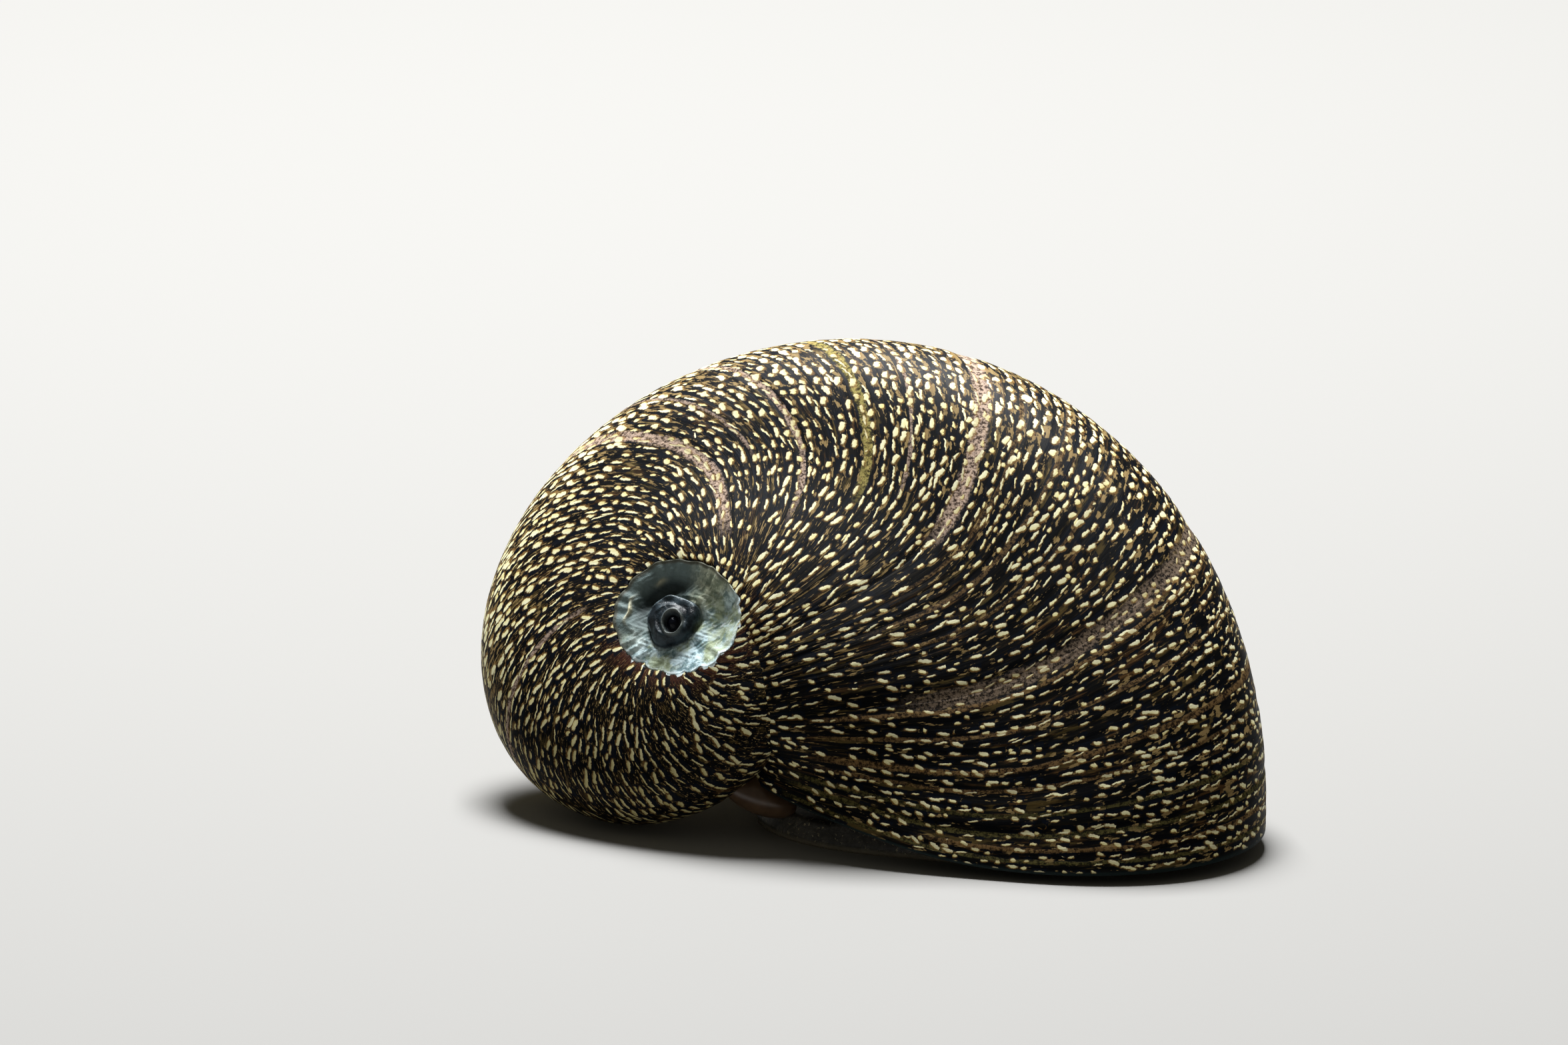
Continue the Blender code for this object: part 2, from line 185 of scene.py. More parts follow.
def marked_points(mark, a):
    """Points of the outside along the growth lines, with what the markings need at each."""
    step = 1e-3

    def plain(m, b):
        return whorl_points(m + lag(m, b), b)

    here = plain(mark, a)
    down = (plain(mark, a + step) - plain(mark, a - step)) / (2 * step)
    ahead = (plain(mark + step, a) - plain(mark - step, a)) / (2 * step)
    down_length = np.maximum(np.linalg.norm(down, axis=1), 1e-6)
    normal = np.cross(down, ahead)
    area = np.maximum(np.linalg.norm(normal, axis=1), 1e-6)
    across = area / down_length
    length = line_length(a)
    per_length = down_length / np.maximum(np.gradient(line_length(LINE_TABLE), LINE_TABLE)[
        np.clip(np.searchsorted(LINE_TABLE, a), 0, len(LINE_TABLE) - 1)], 1e-3)
    outward = normal / area[:, None]
    raised = here + outward * (ridges(mark, a, across) * GROWTH_PER_TURN ** (mark / TURN * 0.5))[:, None]
    marks = {"mark": mark, "line": length, "along_mm": per_length, "across_mm": across}
    return raised, marks


def grid_mesh(name, along, around, place):
    """A mesh made from a grid: place(t, s) gives points in mm and named values for arrays from 0 to 1."""
    bm = bmesh.new()
    bmesh.ops.create_grid(bm, x_segments=along, y_segments=around, size=0.5)
    mesh = bpy.data.meshes.new(name)
    bm.to_mesh(mesh)
    bm.free()
    flat = np.empty(len(mesh.vertices) * 3)
    mesh.vertices.foreach_get("co", flat)
    grid = flat.reshape(-1, 3) + 0.5
    points, values = place(grid[:, 0], grid[:, 1])
    mesh.vertices.foreach_set("co", (points * MM).ravel())
    for key, numbers in values.items():
        mesh.attributes.new(key, "FLOAT", "POINT").data.foreach_set("value", numbers)
    return mesh


def closed(mesh, cap=True, flip=False):
    """Welds a mesh's seams, closes its ends and turns its faces outwards."""
    bm = bmesh.new()
    bm.from_mesh(mesh)
    bmesh.ops.remove_doubles(bm, verts=bm.verts, dist=1e-8)
    if cap:
        ends = bmesh.ops.holes_fill(bm, edges=bm.edges, sides=0)["faces"]
        bmesh.ops.poke(bm, faces=ends)
    bmesh.ops.recalc_face_normals(bm, faces=bm.faces)
    if flip:
        bmesh.ops.reverse_faces(bm, faces=bm.faces)
    bm.to_mesh(mesh)
    bm.free()
    return mesh


def piece(mesh, nodes, material, sharp=50):
    """An object for a finished mesh that stands for its solids and rides on the root body."""
    made = bpy.data.objects.new(mesh.name, mesh)
    bpy.context.collection.objects.link(made)
    mesh.shade_smooth()
    mesh.set_sharp_from_angle(angle=radians(sharp))
    mesh.materials.append(material)
    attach(made, "root")
    if nodes:
        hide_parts(*nodes)
    return made


class Nodes:
    """Adds shader nodes to one material and joins them up."""

    def __init__(self, name):
        self.material = bpy.data.materials.new(name)
        self.material.use_nodes = True
        self.tree = self.material.node_tree
        self.shader = self.tree.nodes["Principled BSDF"]

    def add(self, kind, inputs=(), **settings):
        node = self.tree.nodes.new(kind)
        for key, value in settings.items():
            setattr(node, key, value)
        for key, value in dict(inputs).items():
            self.join(value, node.inputs[key])
        return node

    def join(self, value, socket):
        if isinstance(value, bpy.types.NodeSocket):
            self.tree.links.new(value, socket)
        elif isinstance(value, tuple) and len(value) == 3 and socket.type == "RGBA":
            socket.default_value = (*value, 1)
        else:
            socket.default_value = value

    def math(self, operation, *values, clamp=False):
        node = self.add("ShaderNodeMath", operation=operation, use_clamp=clamp)
        for socket, value in zip(node.inputs, values):
            self.join(value, socket)
        return node.outputs[0]

    def value(self, name):
        return self.add("ShaderNodeAttribute", attribute_name=name).outputs["Fac"]

    def vector(self, x=0.0, y=0.0, z=0.0):
        return self.add("ShaderNodeCombineXYZ", {"X": x, "Y": y, "Z": z}).outputs[0]

    def mix(self, share, first, second, blend="MIX"):
        node = self.add("ShaderNodeMix", data_type="RGBA", blend_type=blend)
        for key, value in ((0, share), (6, first), (7, second)):
            self.join(value, node.inputs[key])
        return node.outputs[2]

    def blend(self, share, first, second):
        node = self.add("ShaderNodeMix", data_type="FLOAT")
        for key, value in ((0, share), (2, first), (3, second)):
            self.join(value, node.inputs[key])
        return node.outputs[0]

    def step(self, value, low, high):
        """0 below low and 1 above high, soft between; high may be the lower one."""
        node = self.add("ShaderNodeMapRange", interpolation_type="SMOOTHSTEP")
        for key, number in (("Value", value), ("From Min", low), ("From Max", high)):
            self.join(number, node.inputs[key])
        return node.outputs[0]

    def noise(self, vector, scale, detail=2.0, rough=0.5, distortion=0.0):
        inputs = {"Vector": vector, "Scale": scale, "Detail": detail, "Roughness": rough, "Distortion": distortion}
        return self.add("ShaderNodeTexNoise", inputs).outputs["Fac"]

    def place(self):
        return self.add("ShaderNodeTexCoord").outputs["Object"]

    def bump(self, height, distance, strength=1.0, before=None):
        node = self.add("ShaderNodeBump", {"Height": height, "Distance": distance, "Strength": strength})
        if before is not None:
            self.join(before, node.inputs["Normal"])
        return node.outputs[0]

    def finish(self, **inputs):
        for key, value in inputs.items():
            self.join(value, self.shader.inputs[key.replace("_", " ")])
        return self.material


# Spacing of the whorl's surface across its growth lines, in mm for each
# radian of growth at the lip's own size, along the lip: filled in by spacing_curve
STAGE = 0.42
DECAY = np.log(GROWTH_PER_TURN) / TURN


def spacing_curve():
    """The spacing across growth lines against the length along them, averaged over the last turn."""
    a = np.linspace(-pi, radians(170), 60)
    total = 0
    marks = [radians(m) for m in (-20, -60, -100, -150, -200)]
    for mark in marks:
        _, values = marked_points(np.full_like(a, mark), a)
        total = total + values["across_mm"] / GROWTH_PER_TURN ** (mark / TURN)
    return line_length(a), total / len(marks)


def fleck_layer(n, seed, pitch, size, presence, warp):
    """One layer of pale flecks in rows along the whorl: its mask, its fringe, the dark beside it and its tone, half
    random and half a painted highlight towards one side.
    """
    pitch, size = [float(v) for v in pitch], [float(v) for v in size]
    mark, line = n.value("mark"), n.value("line")
    along, across = n.value("along_mm"), n.value("across_mm")
    lengths, spacings = CURVE
    reach, top = float(lengths[-1]), float(max(spacings))
    stage_place = n.math("ADD", n.math("MULTIPLY", mark, -1 / STAGE), 0.37 * seed + 5)
    stage = n.math("FLOOR", stage_place)
    part = n.math("SUBTRACT", stage_place, stage)
    age = n.math("SUBTRACT", stage, 0.37 * seed + 4.5)
    scale = n.math("POWER", float(np.exp(-DECAY * STAGE)), age)
    rows = n.math("MULTIPLY", scale, 1.12 / pitch[0])
    shift = n.add("ShaderNodeTexWhiteNoise", {"W": n.math("ADD", stage, 31.7 * seed)}, noise_dimensions="1D").outputs[0]
    row_place = n.math("ADD", n.math("MULTIPLY", line, rows), n.math("MULTIPLY", shift, 9))
    row = n.math("FLOOR", row_place)
    row_part = n.math("SUBTRACT", row_place, row)
    centre = n.math("DIVIDE", n.math("SUBTRACT", n.math("ADD", row, 0.5), n.math("MULTIPLY", shift, 9)), rows)
    curve = n.add("ShaderNodeFloatCurve", {"Value": n.math("DIVIDE", centre, reach)})
    points = curve.mapping.curves[0].points
    points[0].location = (0, float(spacings[0]) / top)
    points[1].location = (1, float(spacings[-1]) / top)
    for k in range(4, len(lengths) - 2, 5):
        points.new(float(lengths[k]) / reach, float(spacings[k]) / top)
    curve.mapping.update()
    spacing = n.math("MULTIPLY", curve.outputs[0], top * STAGE / pitch[1])
    count = n.math("MAXIMUM", n.math("ROUND", n.math("MULTIPLY", spacing, scale)), 1)
    cell_place = n.math("MULTIPLY", part, count)
    cell = n.math("FLOOR", cell_place)
    cell_part = n.math("SUBTRACT", cell_place, cell)
    key = n.vector(row, cell, n.math("ADD", stage, 17.3 * seed))
    chance = n.add("ShaderNodeTexWhiteNoise", {"Vector": key}, noise_dimensions="3D")
    channels = n.add("ShaderNodeSeparateColor", {"Color": chance.outputs["Color"]})
    red, green, blue = (channels.outputs[k] for k in range(3))
    value = chance.outputs["Value"]
    offset_along = n.math("MULTIPLY", n.math("SUBTRACT", red, 0.5), 0.3)
    offset_across = n.math("MULTIPLY", n.math("SUBTRACT", green, 0.5), 0.36)
    cell_along = n.math("DIVIDE", along, rows)
    cell_across = n.math("MULTIPLY", n.math("DIVIDE", STAGE, count), across)
    x = n.math("MULTIPLY", n.math("SUBTRACT", n.math("SUBTRACT", row_part, 0.5), offset_along), cell_along)
    y = n.math("MULTIPLY", n.math("SUBTRACT", n.math("SUBTRACT", cell_part, 0.5), offset_across), cell_across)
    y = n.math("ADD", y, n.math("MULTIPLY", x, n.math("MULTIPLY", n.math("SUBTRACT", blue, 0.35), 0.6)))
    x = n.math("ADD", x, n.math("MULTIPLY", warp[0], size[0] * 1.5))
    y = n.math("ADD", y, n.math("MULTIPLY", warp[1], size[1] * 3.0))
    length = n.math("MULTIPLY", n.math("ADD", n.math("MULTIPLY", value, 0.95), 0.5), size[0])
    length = n.math("MULTIPLY", length, n.value("stroke"))
    width = n.math("MULTIPLY", n.math("ADD", n.math("MULTIPLY", blue, 0.85), 0.55), size[1])
    width = n.math("MULTIPLY", width, n.value("breadth"))

    def shape(x, y, longer=1.0, wider=1.0):
        ratio_x = n.math("DIVIDE", x, n.math("MULTIPLY", length, longer))
        ratio_y = n.math("DIVIDE", y, n.math("MULTIPLY", width, wider))
        squares = n.math("ADD", n.math("MULTIPLY", ratio_x, ratio_x), n.math("MULTIPLY", ratio_y, ratio_y))
        block = n.math("MAXIMUM", n.math("ABSOLUTE", ratio_x), n.math("ABSOLUTE", ratio_y))
        return n.math("ADD", n.math("MULTIPLY", n.math("SQRT", squares), 0.75), n.math("MULTIPLY", block, 0.28))

    there = n.math("LESS_THAN", n.math("FRACT", n.math("MULTIPLY", n.math("ADD", red, green), 7.13)), presence)
    near = shape(x, y)
    fleck = n.math("MULTIPLY", n.step(near, 1.22, 0.85), there)
    younger = shape(x, n.math("ADD", y, n.math("MULTIPLY", width, 0.3)), 1.15, 1.35)
    fringe = n.math("MULTIPLY", n.step(younger, 1.4, 0.8), there)
    # Painted highlight: each fleck is paler towards one side.
    lit = n.step(n.math("DIVIDE", y, width), -0.9, 0.7)
    tone_and_highlight = n.math("ADD", n.math("MULTIPLY", lit, 0.5), n.math("MULTIPLY", value, 0.5))
    beside = shape(x, n.math("SUBTRACT", y, n.math("MULTIPLY", width, 2.1)), 2.0, 3.1)
    dark = n.math("MULTIPLY", n.step(beside, 1.12, 0.88), there)
    return fleck, fringe, dark, tone_and_highlight


def shell_material(looks):
    """Near-black shell with cream flecks, growth lines and paler bands, with painted shade that darkens the ground and
    turns the flecks tan low down.
    """
    n = Nodes("speckled_shell")
    mark, line = n.value("mark"), n.value("line")
    across = n.value("across_mm")
    place = n.place()
    warp_noise = n.add("ShaderNodeTexNoise", {"Vector": place, "Scale": 5600, "Detail": 3, "Roughness": 0.6})
    warp = n.add("ShaderNodeSeparateColor", {"Color": warp_noise.outputs["Color"]}).outputs
    patchy = n.noise(place, 330, 3, 0.6)
    presence = n.math("MULTIPLY", n.value("fleck_share"), n.math("ADD", n.math("MULTIPLY", patchy, 0.7), 0.55))

    def lines(across_scale, along_scale, seed, detail=4, rough=0.65):
        where = n.vector(n.math("MULTIPLY", mark, across_scale), n.math("MULTIPLY", line, along_scale), seed)
        return n.noise(where, 1.0, detail, rough)

    striae = lines(60, 0.35, 0, 6, 0.7)
    fine = lines(170, 0.9, 3, 4, 0.7)
    streaks = lines(9, 0.22, 7)
    warm, painted_low_shade = n.value("warm"), n.value("painted_low_shade")
    ground = n.mix(n.step(striae, 0.45, 0.65), tuple(looks.black), (0.009, 0.008, 0.006))
    brown = n.mix(n.step(fine, 0.35, 0.65), (0.022, 0.010, 0.004), tuple(looks.brown))
    brown_place = n.math("ADD", n.math("MULTIPLY", streaks, 0.45), n.math("MULTIPLY", striae, 0.55))
    brown_share = n.step(n.math("ADD", brown_place, n.math("MULTIPLY", warm, 0.01)), 0.54, 0.62)
    ground = n.mix(n.math("MULTIPLY", brown_share, 0.85), ground, brown)
    tan_line = n.step(n.math("ADD", lines(60, 1.7, 21, 3, 0.6), n.math("MULTIPLY", warm, 0.125)), 0.60, 0.65)
    tan = n.mix(fine, (0.15, 0.085, 0.035), tuple(looks.tan))
    ground = n.mix(n.math("MULTIPLY", tan_line, 0.85), ground, tan)
    olive = n.math("MULTIPLY", n.step(lines(27, 0.4, 12), 0.56, 0.66), 0.65)
    ground = n.mix(olive, ground, n.mix(fine, (0.02, 0.013, 0.004), (0.2, 0.14, 0.045)))
    # Painted shade: the ground is darkened towards the bottom of the shell.
    ground = n.mix(n.math("MULTIPLY", painted_low_shade, 0.7), ground, n.mix(0.55, ground, (0.0, 0.0, 0.0)))
    ground = n.mix(n.math("MULTIPLY", n.value("rust"), n.step(striae, 0.4, 0.55)), ground, (0.07, 0.023, 0.013))
    pitch = np.array((looks.row_spacing, looks.line_spacing)) / MM
    size = np.array((looks.fleck_length, looks.fleck_width)) / MM
    strong = n.math("ADD", n.math("MULTIPLY", warm, 0.85), 0.65)
    warp = [n.math("MULTIPLY", n.math("SUBTRACT", part, 0.5), strong) for part in (warp[0], warp[1])]
    layers = [
        fleck_layer(n, 1, pitch, size, presence, warp),
        fleck_layer(n, 2, pitch * 1.2, size * 0.88, n.math("MULTIPLY", presence, 0.27), warp),
    ]
    colour = ground
    for fleck, fringe, dark, tone_and_highlight in layers:
        colour = n.mix(n.math("MULTIPLY", dark, 0.95), colour, (0.0025, 0.0045, 0.009))
    grain = n.noise(place, 9000, 3, 0.7)
    speckle = n.step(grain, 0.38, 0.6)
    tones = {
        "pink": n.mix(speckle, (0.05, 0.03, 0.022), tuple(looks.band)),
        "grey": n.mix(speckle, (0.012, 0.009, 0.007), (0.23, 0.17, 0.12)),
        "yellow": n.mix(speckle, (0.06, 0.048, 0.012), (0.50, 0.42, 0.13)),
        "brown": n.mix(speckle, (0.02, 0.010, 0.004), (0.25, 0.15, 0.06)),
        "olive": n.mix(speckle, (0.014, 0.012, 0.003), (0.125, 0.108, 0.034)),
    }
    ragged = n.math("ADD", n.math("MULTIPLY", n.noise(place, 1400, 4, 0.75), 1.7), 0.1)
    masks = {}
    for band, width, strength, tone, start in BANDS_PAINTED:
        away = n.math("MULTIPLY", n.math("ABSOLUTE", n.math("SUBTRACT", mark, band)), across)
        away = n.math("ADD", away, n.math("MULTIPLY", n.math("SUBTRACT", fine, 0.5), 0.2))
        mask = n.step(away, n.math("MULTIPLY", ragged, width), n.math("MULTIPLY", ragged, width * 0.55))
        mask = n.math("MULTIPLY", mask, n.math("MULTIPLY", n.step(line, start - 0.8, start + 0.8), strength))
        masks[tone] = n.math("MAXIMUM", masks[tone], mask) if tone in masks else mask
    band_mask = None
    for tone, mask in masks.items():
        colour = n.mix(mask, colour, tones[tone])
        band_mask = mask if band_mask is None else n.math("MAXIMUM", band_mask, mask)
    for fleck, fringe, dark, tone_and_highlight in layers:
        # The orange fringes fade where painted shade lies low on the shell.
        colour = n.mix(n.math("MULTIPLY", fringe, n.math("SUBTRACT", 0.7, n.math("MULTIPLY", painted_low_shade, 0.4))), colour, (0.26, 0.14, 0.04))
    rim_line = n.step(mark, -0.014, -0.004)
    colour = n.mix(rim_line, colour, (0.010, 0.017, 0.017))
    cover = None
    for fleck, fringe, dark, tone_and_highlight in layers:
        # The fleck colour follows each fleck's random tone mixed with a painted highlight towards one side.
        cream = n.mix(tone_and_highlight, tuple(looks.fleck_warm), tuple(looks.fleck_light))
        # A darker tan copy of the fleck colour, laid on low down as painted shade.
        shaded_fleck = n.mix(tone_and_highlight, (0.17, 0.125, 0.035), (0.46, 0.39, 0.14))
        cream = n.mix(painted_low_shade, cream, shaded_fleck)
        shade = n.math("MULTIPLY", fleck, n.math("SUBTRACT", 1, n.math("MULTIPLY", band_mask, 0.4)))
        shade = n.math("MULTIPLY", shade, n.math("SUBTRACT", 1, rim_line))
        colour = n.mix(shade, colour, cream)
        cover = fleck if cover is None else n.math("MAXIMUM", cover, fleck)
    tooth = n.step(n.math("ADD", n.math("MULTIPLY", n.value("toothed"), 0.5), n.noise(place, 3000, 2, 0.5)), 1.0, 1.06)
    colour = n.mix(tooth, colour, (0.80, 0.90, 0.92))
    rough = n.blend(cover, n.blend(band_mask, n.blend(fine, 0.38, 0.55), 0.75), 0.42)
    height = n.math("ADD", n.math("MULTIPLY", striae, 0.5), n.math("MULTIPLY", fine, 0.5))
    height = n.math("ADD", height, n.math("MULTIPLY", n.math("MULTIPLY", grain, band_mask), 0.8))
    height = n.math("ADD", height, n.math("MULTIPLY", cover, 0.2))
    normal = n.bump(height, 0.00004, 0.45)
    return n.finish(Base_Color=colour, Roughness=rough, Normal=normal, Specular_IOR_Level=0.04)


BANDS_PAINTED = (
    (BAND_PINK, 0.34, 0.85, "pink", 8.8),
    (BAND_NEAR_LIP, 0.4, 0.85, "grey", 6.5),
    (BAND_REAR, 0.27, 0.85, "pink", 5.5),
    (radians(-201), 0.11, 0.6, "pink", 7.0),
    (radians(-116), 0.08, 0.55, "pink", 9.0),
    (radians(-103.5), 0.13, 0.75, "pink", 6.5),
    (radians(-88), 0.2, 0.7, "yellow", 8.0),
    (radians(-79), 0.08, 0.6, "pink", 9.0),
    (radians(-61), 0.08, 0.5, "brown", 7.0),
    (radians(-54), 0.11, 0.5, "brown", 6.0),
    (radians(-47), 0.08, 0.5, "brown", 6.0),
    (radians(-31), 0.11, 0.7, "brown", 4.0),
    (radians(-25), 0.09, 0.6, "brown", 4.0),
    (radians(-18), 0.13, 0.75, "brown", 4.0),
    (radians(-14.5), 0.08, 0.6, "brown", 4.0),
    (radians(-10), 0.1, 0.6, "olive", 3.0),
    (radians(-6.5), 0.1, 0.7, "olive", 3.0),
    (radians(-4), 0.09, 0.7, "brown", 8.0),
    (radians(-2), 0.08, 0.7, "olive", 3.0),
)
CURVE = spacing_curve()


def look_fields(mark, a, z):
    """How dense, how long and how warm the markings are over the shell, and how much painted shade lies on them low
    down.
    """
    lobe = eased((radians(-175) - mark) / radians(40))
    young = eased((mark + radians(78)) / radians(50))
    upper = (1 - lobe) * (1 - young)
    high = eased((a + radians(95)) / radians(70))
    near_lip = eased((mark + radians(50)) / radians(25))
    density = 1.0 * upper + (0.72 + 0.25 * high) * young + 0.9 * lobe
    stroke = (1.15 + 0.1 * high) * upper + (0.95 + 0.1 * high) * young + 1.3 * lobe
    breadth = (0.88 + 0.4 * high) * upper + (0.72 + 0.5 * high * (1 - near_lip)) * young + 0.68 * lobe
    warm = (0.35 + 0.75 * high) * upper + 0.25 * lobe + (0.05 + 0.45 * high) * young
    low = eased((5.4 - z) / 3.8)
    far = eased((a - radians(25)) / radians(60))
    density, breadth, warm = density - 0.12 * far, breadth * (1 - 0.28 * far), warm * (1 - 0.4 * far)
    # Painted shade: darkens the markings towards the bottom of the shell, less on the youngest whorl.
    painted_low_shade = (0.75 - 0.62 * young) * low
    looks = {"fleck_share": density, "stroke": stroke, "breadth": breadth, "warm": warm}
    return {**looks, "painted_low_shade": np.clip(painted_low_shade, 0, 1)}


def shell_length(name, start, end, along, around):
    """A length of the whorl's outside, closed at both ends."""

    def place(t, s):
        mark = start + (end - start) * t
        a = radians(-186) + TURN * s
        points, marks = marked_points(mark, wrapped_far(a))
        out, bearing, _ = crater_place(points)
        below = eased(0.4 - 0.9 * np.sin(bearing))
        worn = {"rust": bell(out - 1.06, 0.22) * below, "toothed": bell(out - 1.02, 0.1) * (0.2 + 0.8 * below)}
        return points, {**marks, **look_fields(mark, wrapped_far(a), points[:, 2]), **worn}

    return closed(grid_mesh(name, along, around, place))


def wrapped_far(a):
    """A bearing within the table that measures the lip, past the rear."""
    return np.where(a < -pi, a + TURN, a)


def lip_mesh(along, around):
    """The last length of whorl, rounded over the lip and back into the mouth."""
    outer = int(along * 0.62)
    depths = np.array([radians(d) for d, _ in MOUTH_DEPTH])
    insets = np.array([i for _, i in MOUTH_DEPTH])

    def place(t, s):
        a = wrapped_far(radians(-186) + TURN * s)
        row = t * along
        mark = np.minimum(BAND_NEAR_LIP * (1 - row / outer), 0)
        points, marks = marked_points(mark, a)
        wall = LIP_THICKNESS + REAR_THICKNESS * bell(wrapped(a - pi), radians(40))
        inner = row > outer
        depth = depths[-1] * eased_in(np.clip((row - outer) / (along - outer), 0, 1))
        inset = wall * eased_in(np.clip((row - outer) / (0.22 * (along - outer)), 0, 1), 0.5)
        inset += np.interp(depth, depths[::-1], insets[::-1])
        hollow = whorl_points(np.where(inner, depth, 0), a, 0)
        radius = outline(depth, a) - inset
        flat = np.stack((radius * np.cos(a), radius * np.sin(a), lip_height(a)), -1)
        hollow = grown(depth, flat)
        points = np.where(inner[:, None], hollow, points)
        marks["mark"] = np.where(inner, 0.02, marks["mark"])
        return points, {**marks, **look_fields(mark, a, points[:, 2]), "rust": np.zeros_like(a), "inside": inner.astype(float)}

    return closed(grid_mesh("shell_lip", along, around, place))


def eased_in(value, power=1.6):
    return value**power


def crater_place(points):
    """Each point's distance from the crater's line as a share of its rim, its bearing and its height."""
    across, up = axis_frame()
    away = points - (APEX + across * CRATER_SHIFT[0] + up * CRATER_SHIFT[1])
    x, y = away @ across, away @ up
    bearing = np.arctan2(y, x)
    return np.hypot(x, y) / rim_radius(bearing), bearing, (points - APEX) @ AXIS


def axis_frame():
    """Two directions across the coiling axis: one towards +X, one up."""
    across = np.array((1.0, 0, 0)) - AXIS * AXIS[0]
    across /= np.linalg.norm(across)
    return across, np.cross(AXIS, across)


def rim_radius(bearing):
    """The ragged rim of the crater, toothed along its lower side, in mm."""
    oval = CRATER_RADIUS + CRATER_LIFT * np.sin(bearing) + CRATER_OVAL * np.cos(2 * (bearing + CRATER_TURN))
    low = eased(-np.sin(bearing - 0.3) * 1.5)
    teeth = np.abs(np.sin(bearing * 8.5 + 0.6 * np.sin(bearing * 5))) ** 0.7
    return oval * (1 + 0.012 * np.sin(bearing * 7 + 1) + 0.01 * np.sin(bearing * 17) + 0.055 * low * (teeth - 0.4))


def rim_heights(trees, bearings, reach):
    """The shell's height along the axis over each bearing of the rim, in mm."""
    across, up = axis_frame()
    middle = APEX + across * CRATER_SHIFT[0] + up * CRATER_SHIFT[1]
    heights = []
    for b in bearings:
        out = reach * float(rim_radius(b))
        start = middle + across * out * cos(b) + up * out * sin(b) + AXIS * 4
        hits = [tree.ray_cast(Vector(start) * MM, -Vector(AXIS), 8 * MM)[0] for tree in trees]
        heights.append(max((np.array(hit) / MM - APEX) @ AXIS for hit in hits if hit is not None))
    heights = np.array(heights)
    for _ in range(3):
        heights = (heights + np.roll(heights, 1) + np.roll(heights, -1)) / 3
    return heights


KNOB_CENTRE = (-0.22, -0.02)
RING_CENTRE = (0.11, -0.17)
FLOOR = -1.15


def knob_height(x, y):
    """The first whorl's knob, a lumpy dome with a spiral ridge and an oval ring on top."""
    radius, bearing = np.hypot(x, y), np.arctan2(y, x)
    edge = 0.91 * (1 + 0.05 * np.sin(3 * bearing + 1) + 0.03 * np.sin(5 * bearing))
    share = radius / edge
    body = -0.55 - 0.24 * share**2.5
    spiral = np.sin(bearing - 2 * pi * (np.log(np.maximum(share, 0.05)) / np.log(2.6)) + 0.6)
    body += 0.06 * spiral * eased((share - 0.42) / 0.2)
    body += 0.035 * np.sin(x * 9 + 2) * np.sin(y * 8 + 1) * eased((share - 0.4) / 0.3)
    ring = np.hypot((x - RING_CENTRE[0]) / 0.33, (y - RING_CENTRE[1]) / 0.42)
    body += 0.075 * bell(ring - 1, 0.13) - 0.12 * eased((1.05 - ring) / 0.5) + 0.13 * eased((0.72 - ring) / 0.6)
    side = eased((share - 0.9) / 0.16)
    return body * (1 - side) + (FLOOR - 0.1) * side, share, ring


def cup_heights(out, bearing, rim):
    """The crater's surface, with masks for its knob, ring, wall and ledge, and for its painted shade and painted
    highlight.
    """
    radius = out * rim_radius(bearing)
    x, y = radius * np.cos(bearing), radius * np.sin(bearing)
    upper = eased(0.5 + 0.9 * np.sin(bearing + 0.35))
    foot = 0.52 + 0.26 * upper
    rise = np.clip((out - foot) / (1 - foot), 0, 1)
    rise = rise ** (1.5 - 0.6 * upper)
    lumps = 0.03 * np.sin(x * 7 + np.sin(y * 5)) * np.sin(y * 6 + 1.7) + 0.016 * np.sin(x * 19 + 3 * np.sin(y * 9)) * np.sin(y * 17)
    lower = eased(0.5 - 0.9 * np.sin(bearing + 0.4))
    floor = FLOOR + 0.14 * (out - 0.5) + 0.3 * lower + lumps
    # A hollow up-left of the knob: the floor is lowered there, and the material paints it near black as painted shade.
    shaded_trench = bell(out - 0.6, 0.14) * bell(wrapped(bearing - radians(122)), radians(48))
    floor += 0.3 * bell(wrapped(bearing - radians(45)), radians(50)) - 0.3 * shaded_trench
    ledge = bell(out - 0.8 - 0.03 * np.sin(bearing * 13), 0.024) * bell(wrapped(bearing - radians(160)), radians(11))
    ledge += 0.7 * bell(out - 0.74, 0.03) * bell(wrapped(bearing - radians(115)), radians(6))
    bowl = floor * (1 - rise) + rim * rise + 0.1 * ledge
    flutes = 0.03 * np.sin(bearing * 23 + 2 * np.sin(bearing * 7)) * bell(out - 0.9, 0.12)
    bowl += flutes
    knob, share, ring = knob_height(x - KNOB_CENTRE[0], y - KNOB_CENTRE[1])
    inside = eased((1.14 - share) / 0.12)
    height = bowl * (1 - inside) + np.maximum(knob, bowl - 0.05) * inside
    # Painted shade over the crater's upper side, and a darker share of it over the upper left.
    shade = eased(0.5 + 1.1 * np.sin(bearing - 0.35))
    masks = {
        "ray_x": np.cos(bearing),
        "ray_y": np.sin(bearing),
        "shade": shade,
        "left_shade": shade * eased(0.5 - 1.2 * np.cos(bearing + 0.5)),
        # Painted highlight along the knob's edge, on one side only.
        "knob_edge_highlight": bell(share - 0.9, 0.035) * eased(0.75 + np.sin(bearing - 0.5)),
        "knob": eased((1.06 - share) / 0.12),
        "ring": bell(ring - 1, 0.14) * (share < 1),
        "bead": eased((0.75 - ring) / 0.2),
        "wall": eased((out - foot - 0.05) / 0.15) * upper,
        "ledge": np.clip(ledge, 0, 1),
        "shaded_trench": np.clip(shaded_trench * 1.5, 0, 1),
        "edge": eased((out - 0.93) / 0.05),
        "far_out": out,
    }
    return height, x, y, masks


